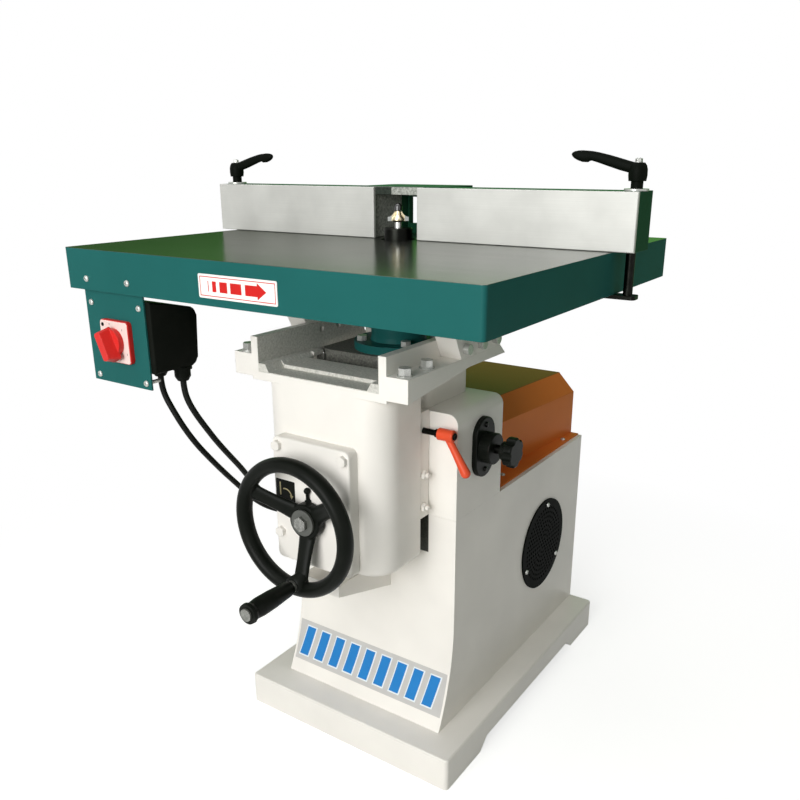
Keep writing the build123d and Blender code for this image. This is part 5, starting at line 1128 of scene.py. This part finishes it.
class MOULDER_OT_screws(bpy.types.Operator):
    """Cross-recess pan heads on the sheet metal and the lock plate"""

    bl_idname = "moulder.screws"
    bl_label = "Screws"

    def execute(self, context):
        tree = self.pan_head_tree()
        for name, screws, body, node in (
            ("panel_pan_heads", knee_screws, "knee", "panel_screws"),
            ("cabinet_pan_heads", frame_screws, "frame", "cabinet_screws"),
        ):
            mesh = self.heads(tree, name, screws, context.scene.moulder_sizes)
            new_piece(name, mesh, [], body, replaced=[node])
        return {"FINISHED"}

    def pan_head_tree(self):
        """Domed head with a cross cut into it, put on every point and turned to face its way."""
        sockets = dict.fromkeys(("Diameter", "Rise"), "NodeSocketFloat")
        sockets |= dict.fromkeys(("Bright", "Black"), "NodeSocketMaterial")
        tree, given = geometry_tree("pan_heads", sockets)
        wide, rise = given["Diameter"], given["Rise"]
        radius = add(tree, "ShaderNodeMath", {0: wide, 1: 0.5}, operation="MULTIPLY")
        drum = {"Vertices": 28, "Side Segments": 5, "Fill Segments": 2, "Radius": radius, "Depth": rise}
        head = add(tree, "GeometryNodeMeshCylinder", drum, out="Mesh")
        place = add(tree, "GeometryNodeInputPosition")
        height = add(tree, "ShaderNodeSeparateXYZ", {"Vector": place}, out="Z")
        level = add(tree, "ShaderNodeMath", {0: height, 1: rise}, operation="DIVIDE")
        level = add(tree, "ShaderNodeMath", {0: level, 1: 0.5}, operation="ADD")
        fall = add(tree, "ShaderNodeMath", {0: level, 1: dome_power}, operation="POWER")
        slope = {0: fall, 1: -dome_fall, 2: 1.0}
        girth = add(tree, "ShaderNodeMath", slope, operation="MULTIPLY_ADD")
        shape = add(tree, "ShaderNodeCombineXYZ", {"X": girth, "Y": girth, "Z": 1.0})
        domed = add(tree, "ShaderNodeVectorMath", {0: place, 1: shape}, operation="MULTIPLY")
        base = add(tree, "ShaderNodeMath", {0: rise, 1: 0.5}, operation="MULTIPLY")
        lift = add(tree, "ShaderNodeCombineXYZ", {"Z": base})
        moved = {"Geometry": head, "Position": domed, "Offset": lift}
        head = add(tree, "GeometryNodeSetPosition", moved)
        cut = add(tree, "GeometryNodeMeshBoolean", {"Mesh 1": head}, operation="DIFFERENCE", out=None)
        up = add(tree, "ShaderNodeCombineXYZ", {"Z": rise})
        for shares in ((recess_long, recess_wide), (recess_wide, recess_long)):
            size = {"Z": rise}
            for axis, share in zip("XY", shares):
                pair = {0: wide, 1: share}
                size[axis] = add(tree, "ShaderNodeMath", pair, operation="MULTIPLY")
            box = add(tree, "ShaderNodeCombineXYZ", size)
            bar = add(tree, "GeometryNodeMeshCube", {"Size": box}, out="Mesh")
            tool = add(tree, "GeometryNodeTransform", {"Geometry": bar, "Translation": up})
            tree.links.new(tool, cut.inputs["Mesh 2"])
        facing = add(tree, "GeometryNodeInputNamedAttribute", {"Name": "facing"}, data_type="FLOAT_VECTOR")
        turn = add(tree, "FunctionNodeAlignRotationToVector", {"Vector": facing}, axis="Z")
        spread = {"Points": given["Geometry"], "Instance": cut.outputs[0], "Rotation": turn}
        heads = add(tree, "GeometryNodeInstanceOnPoints", spread)
        real = add(tree, "GeometryNodeRealizeInstances", {"Geometry": heads})
        coat = {"Geometry": real, "Material": given["Bright"]}
        bright = add(tree, "GeometryNodeSetMaterial", coat)
        dark = add(tree, "GeometryNodeInputNamedAttribute", {"Name": "blacked"}, data_type="BOOLEAN")
        coat = {"Geometry": bright, "Selection": dark, "Material": given["Black"]}
        done = add(tree, "GeometryNodeSetMaterial", coat)
        add(tree, "NodeGroupOutput", {"Geometry": done}, out=None)
        return tree

    def heads(self, tree, name, screws, sizes):
        """Plain mesh of all the heads on one body."""
        points = bpy.data.meshes.new(name + "_places")
        points.from_pydata([Vector(place) * MM for place, way, dark in screws], [], [])
        facing = points.attributes.new("facing", "FLOAT_VECTOR", "POINT")
        facing.data.foreach_set("vector", [c for place, way, dark in screws for c in way])
        blacked = points.attributes.new("blacked", "BOOLEAN", "POINT")
        blacked.data.foreach_set("value", [dark for place, way, dark in screws])
        settings = {
            "Diameter": sizes.screw,
            "Rise": sizes.screw_rise,
            "Bright": bpy.data.materials["bright_zinc"],
            "Black": bpy.data.materials["black_oxide_steel"],
        }
        mesh = grown(tree, name, points, settings)
        for label in ("facing", "blacked"):
            if label in mesh.attributes:
                mesh.attributes.remove(mesh.attributes[label])
        return mesh


class MOULDER_OT_handwheel(bpy.types.Operator):
    """Moulded handwheel: the solid's form, merged, with a slimmer rim"""

    bl_idname = "moulder.handwheel"
    bl_label = "Handwheel"

    def execute(self, context):
        form = bmesh.new()
        form.from_mesh(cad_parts["handwheel"].data)
        bmesh.ops.remove_doubles(form, verts=form.verts, dist=1e-6)
        x, z = wheel_centre
        for vertex in form.verts:
            across, up = vertex.co.x / MM - x, vertex.co.z / MM - z
            out = hypot(across, up)
            if out > rim_inside:
                share = (rim_inside + (out - rim_inside) * rim_share) / out
                vertex.co.x = (x + across * share) * MM
                vertex.co.z = (z + up * share) * MM
        name = "wheel_moulding"
        mesh = to_mesh(form, name, smooth=True)
        new_piece(name, mesh, ["black_phenolic"], "handwheel", replaced=["handwheel"])
        return {"FINISHED"}


class MOULDER_OT_levers(bpy.types.Operator):
    """Clamp levers with their screws, and the end screw of the knee lock lever"""

    bl_idname = "moulder.levers"
    bl_label = "Levers"

    def execute(self, context):
        for body, place in clamp_places.items():
            self.clamp_lever(body, place)
            self.lever_screw(body, place)
        self.lever_cap()
        return {"FINISHED"}

    def clamp_lever(self, body, place):
        """Moulded clamp lever: a waisted hub and a deep arm that ends in a finger grip."""
        x, y, _ = place
        form = bmesh.new()
        turned_form(form, *lever_hub, (x, y, 0), upwards)
        turn = radians(clamp_angles[body])
        out = Vector((cos(turn), sin(turn), 0))
        side = Vector((-sin(turn), cos(turn), 0))
        rings = []
        for reach, height, tall, wide in lever_sections:
            middle = Vector((x, y, fence_top + height)) + out * reach
            ring = []
            for k in range(lever_sides):
                a = 2 * pi * k / lever_sides
                across = wide * abs(cos(a)) ** lever_squareness * (1 if cos(a) > 0 else -1)
                up = tall * abs(sin(a)) ** lever_squareness * (1 if sin(a) > 0 else -1)
                ring.append(form.verts.new((middle + side * across + Vector((0, 0, up))) * MM))
            rings.append(ring)
        for low, high in zip(rings, rings[1:]):
            skin(form, low, high)
        form.faces.new(rings[0])
        form.faces.new(rings[-1])
        node = body + "_lever"
        name = node + "_moulding"
        mesh = to_mesh(form, name, smooth=True)
        new_piece(name, mesh, ["black_lever_nylon"], body, replaced=[node])

    def lever_screw(self, body, place):
        """Bright hexagon screw with a washer face in the top of a clamp lever."""
        form = bmesh.new()
        turned_form(form, *lever_washer, place, upwards)
        turned_form(form, *lever_hexagon, place, upwards, start=hexagon_turn)
        turned_form(form, *lever_stud, place, upwards)
        name = body + "_screw"
        new_piece(name, to_mesh(form, name), ["bright_zinc"], body)

    def lever_cap(self):
        """Dark socket screw in the end of the knee lock lever's hub."""
        form = bmesh.new()
        turned_form(form, *lock_lever_cap, lever_end, rightwards)
        new_piece("lever_cap", to_mesh(form, "lever_cap"), ["black_oxide_steel"], "lever")


class MOULDER_OT_tray(bpy.types.Operator):
    """Chip guards and cast webs of the knee's tray"""

    bl_idname = "moulder.tray"
    bl_label = "Tray webs"

    def execute(self, context):
        self.chip_guards()
        self.tray_webs()
        return {"FINISHED"}

    def chip_guards(self):
        """Thin webs on the knee that close the slots between its tray and the neck of the frame."""
        form = bmesh.new()
        for side, reach in guard_edges:
            blocks = ((guard_apron_inner, reach, *guard_apron), guard_rib)
            for material, (x0, x1, y0, y1, z0, z1) in enumerate(blocks):
                flat_plate(form, box_outline(side * x0, side * x1, z0, z1), y1, y1 - y0, material)
        enamels = ["white_enamel_with_raw_neck", "white_enamel_with_raw_tray"]
        new_piece("chip_guards", to_mesh(form, "chip_guards"), enamels, "knee")

    def tray_webs(self):
        """Two cast webs that close the back of the tray on either side of the spindle housing."""
        form = bmesh.new()
        for side in (-1, 1):
            outline = [(side * x, z) for x, z in web_outline]
            flat_plate(form, outline, web_back, web_thickness, 0)
        mesh = to_mesh(form, "tray_webs")
        new_piece("tray_webs", mesh, ["white_enamel_with_raw_tray"], "knee")


class MOULDER_OT_switch(bpy.types.Operator):
    """Switch box, with the marks on its plate and the screw tails behind its panel"""

    bl_idname = "moulder.switch"
    bl_label = "Switch box"

    def execute(self, context):
        self.switch_enclosure()
        self.switch_marks()
        self.panel_tails()
        return {"FINISHED"}

    def switch_enclosure(self):
        """Moulded switch box with a falling top and rounded back corners."""
        low, top = (panel_back, box_low), (panel_back, box_top)
        outline = [Vector(low), Vector(top)]
        for before, corner, after in ((top, box_back_top, box_back_low), (box_back_top, box_back_low, low)):
            corner = Vector(corner)
            first = corner + (Vector(before) - corner).normalized() * box_cut
            last = corner + (Vector(after) - corner).normalized() * box_cut
            for k in range(box_cut_steps + 1):
                t = k / box_cut_steps
                outline.append(first * (1 - t) ** 2 + corner * 2 * t * (1 - t) + last * t * t)
        form = bmesh.new()
        ends = [[form.verts.new(Vector((x, y, z)) * MM) for y, z in outline] for x in box_sides]
        form.faces.new(ends[0])
        form.faces.new(ends[1])
        skin(form, *ends)
        rims = [e for e in form.edges if abs(e.verts[0].co.x - e.verts[1].co.x) < MM]
        bmesh.ops.bevel(form, geom=rims, offset=box_rim * MM, segments=3, profile=0.5, affect="EDGES")
        name = "switch_enclosure"
        mesh = to_mesh(form, name, smooth=True)
        new_piece(name, mesh, ["black_box_plastic"], "knee", replaced=["switch_box"])

    def switch_marks(self):
        """Small dark screw in the corner of the switch plate and three index marks round the knob."""
        printed("grey_switch_ink", linear("8A8480"))
        x, z = switch_centre
        across, up = plate_screw_offset
        form = bmesh.new()
        turned_form(form, *plate_screw, (x + across, switch_front, z + up), forwards)
        wide, tall = index_half
        for across, up in index_marks:
            mark = box_outline(x + across - wide, x + across + wide, z + up - tall, z + up + tall)
            flat_plate(form, mark, switch_front, index_rise, 1)
        inks = ["black_oxide_steel", "grey_switch_ink"]
        new_piece("switch_marks", to_mesh(form, "switch_marks"), inks, "knee")

    def panel_tails(self):
        """Nut and threaded end of each lower panel screw, behind the panel."""
        form = bmesh.new()
        crest, depth, start, step, points, end = tail_thread
        ridges = [(crest - depth * (k % 2), start + step * k) for k in range(points)]
        thread = (tail_thread_sides, [(0, start), *ridges, (0, end)])
        for x in panel_screw_xs:
            place = (x, panel_back, min(panel_screw_zs))
            turned_form(form, *tail_nut, place, backwards)
            turned_form(form, *thread, place, backwards)
        new_piece("panel_tails", to_mesh(form, "panel_tails"), ["bright_zinc"], "knee")


class MOULDER_OT_oiler(bpy.types.Operator):
    """Ball oiler on the gear cover: a base, an upright stem and a round cap"""

    bl_idname = "moulder.oiler"
    bl_label = "Oiler"

    def execute(self, context):
        form = bmesh.new()
        turned_form(form, *oiler_base, oiler_foot, forwards, start=oiler_turn)
        x, y, z = oiler_foot
        stem = (x, y - oiler_stand_off, z)
        turned_form(form, *oiler_stem, stem, upwards)
        low, middle, radius = oiler_ball
        turns = [pi * k / 10 for k in range(2, 10)]
        curve = [(radius * sin(a), middle - radius * cos(a)) for a in turns]
        ball = [(0, low), *curve, (0, middle + radius)]
        turned_form(form, oiler_ball_sides, ball, stem, upwards)
        mesh = to_mesh(form, "oiler", smooth=True)
        new_piece("oiler", mesh, ["black_phenolic"], "knee")
        return {"FINISHED"}


classes = (
    MoulderColours,
    MoulderSizes,
    MOULDER_OT_stage,
    MOULDER_OT_finishes,
    MOULDER_OT_cables,
    MOULDER_OT_signs,
    MOULDER_OT_vent,
    MOULDER_OT_screws,
    MOULDER_OT_handwheel,
    MOULDER_OT_levers,
    MOULDER_OT_tray,
    MOULDER_OT_switch,
    MOULDER_OT_oiler,
)


class MOULDER_PT_panel(bpy.types.Panel):
    """Lists the dressing steps in the sidebar"""

    bl_idname = "MOULDER_PT_panel"
    bl_label = "Spindle moulder"
    bl_space_type = "VIEW_3D"
    bl_region_type = "UI"
    bl_category = "Moulder"

    def draw(self, context):
        for step in classes[2:]:
            self.layout.operator(step.bl_idname, text=step.bl_label)
        for group in (context.scene.moulder_colours, context.scene.moulder_sizes):
            for key in group.__annotations__:
                self.layout.prop(group, key)


def register():
    """Register the classes and their settings."""
    for item in (*classes, MOULDER_PT_panel):
        bpy.utils.register_class(item)
    bpy.types.Scene.moulder_colours = bpy.props.PointerProperty(type=MoulderColours)
    bpy.types.Scene.moulder_sizes = bpy.props.PointerProperty(type=MoulderSizes)


def unregister():
    """Remove the settings and the classes."""
    del bpy.types.Scene.moulder_sizes
    del bpy.types.Scene.moulder_colours
    for item in reversed((*classes, MOULDER_PT_panel)):
        bpy.utils.unregister_class(item)


def main():
    register()
    bpy.ops.moulder.stage()
    bpy.ops.moulder.finishes()
    bpy.ops.moulder.cables()
    bpy.ops.moulder.signs()
    bpy.ops.moulder.vent()
    bpy.ops.moulder.screws()
    bpy.ops.moulder.handwheel()
    bpy.ops.moulder.levers()
    bpy.ops.moulder.tray()
    bpy.ops.moulder.switch()
    bpy.ops.moulder.oiler()


if __name__ == "__main__":
    main()
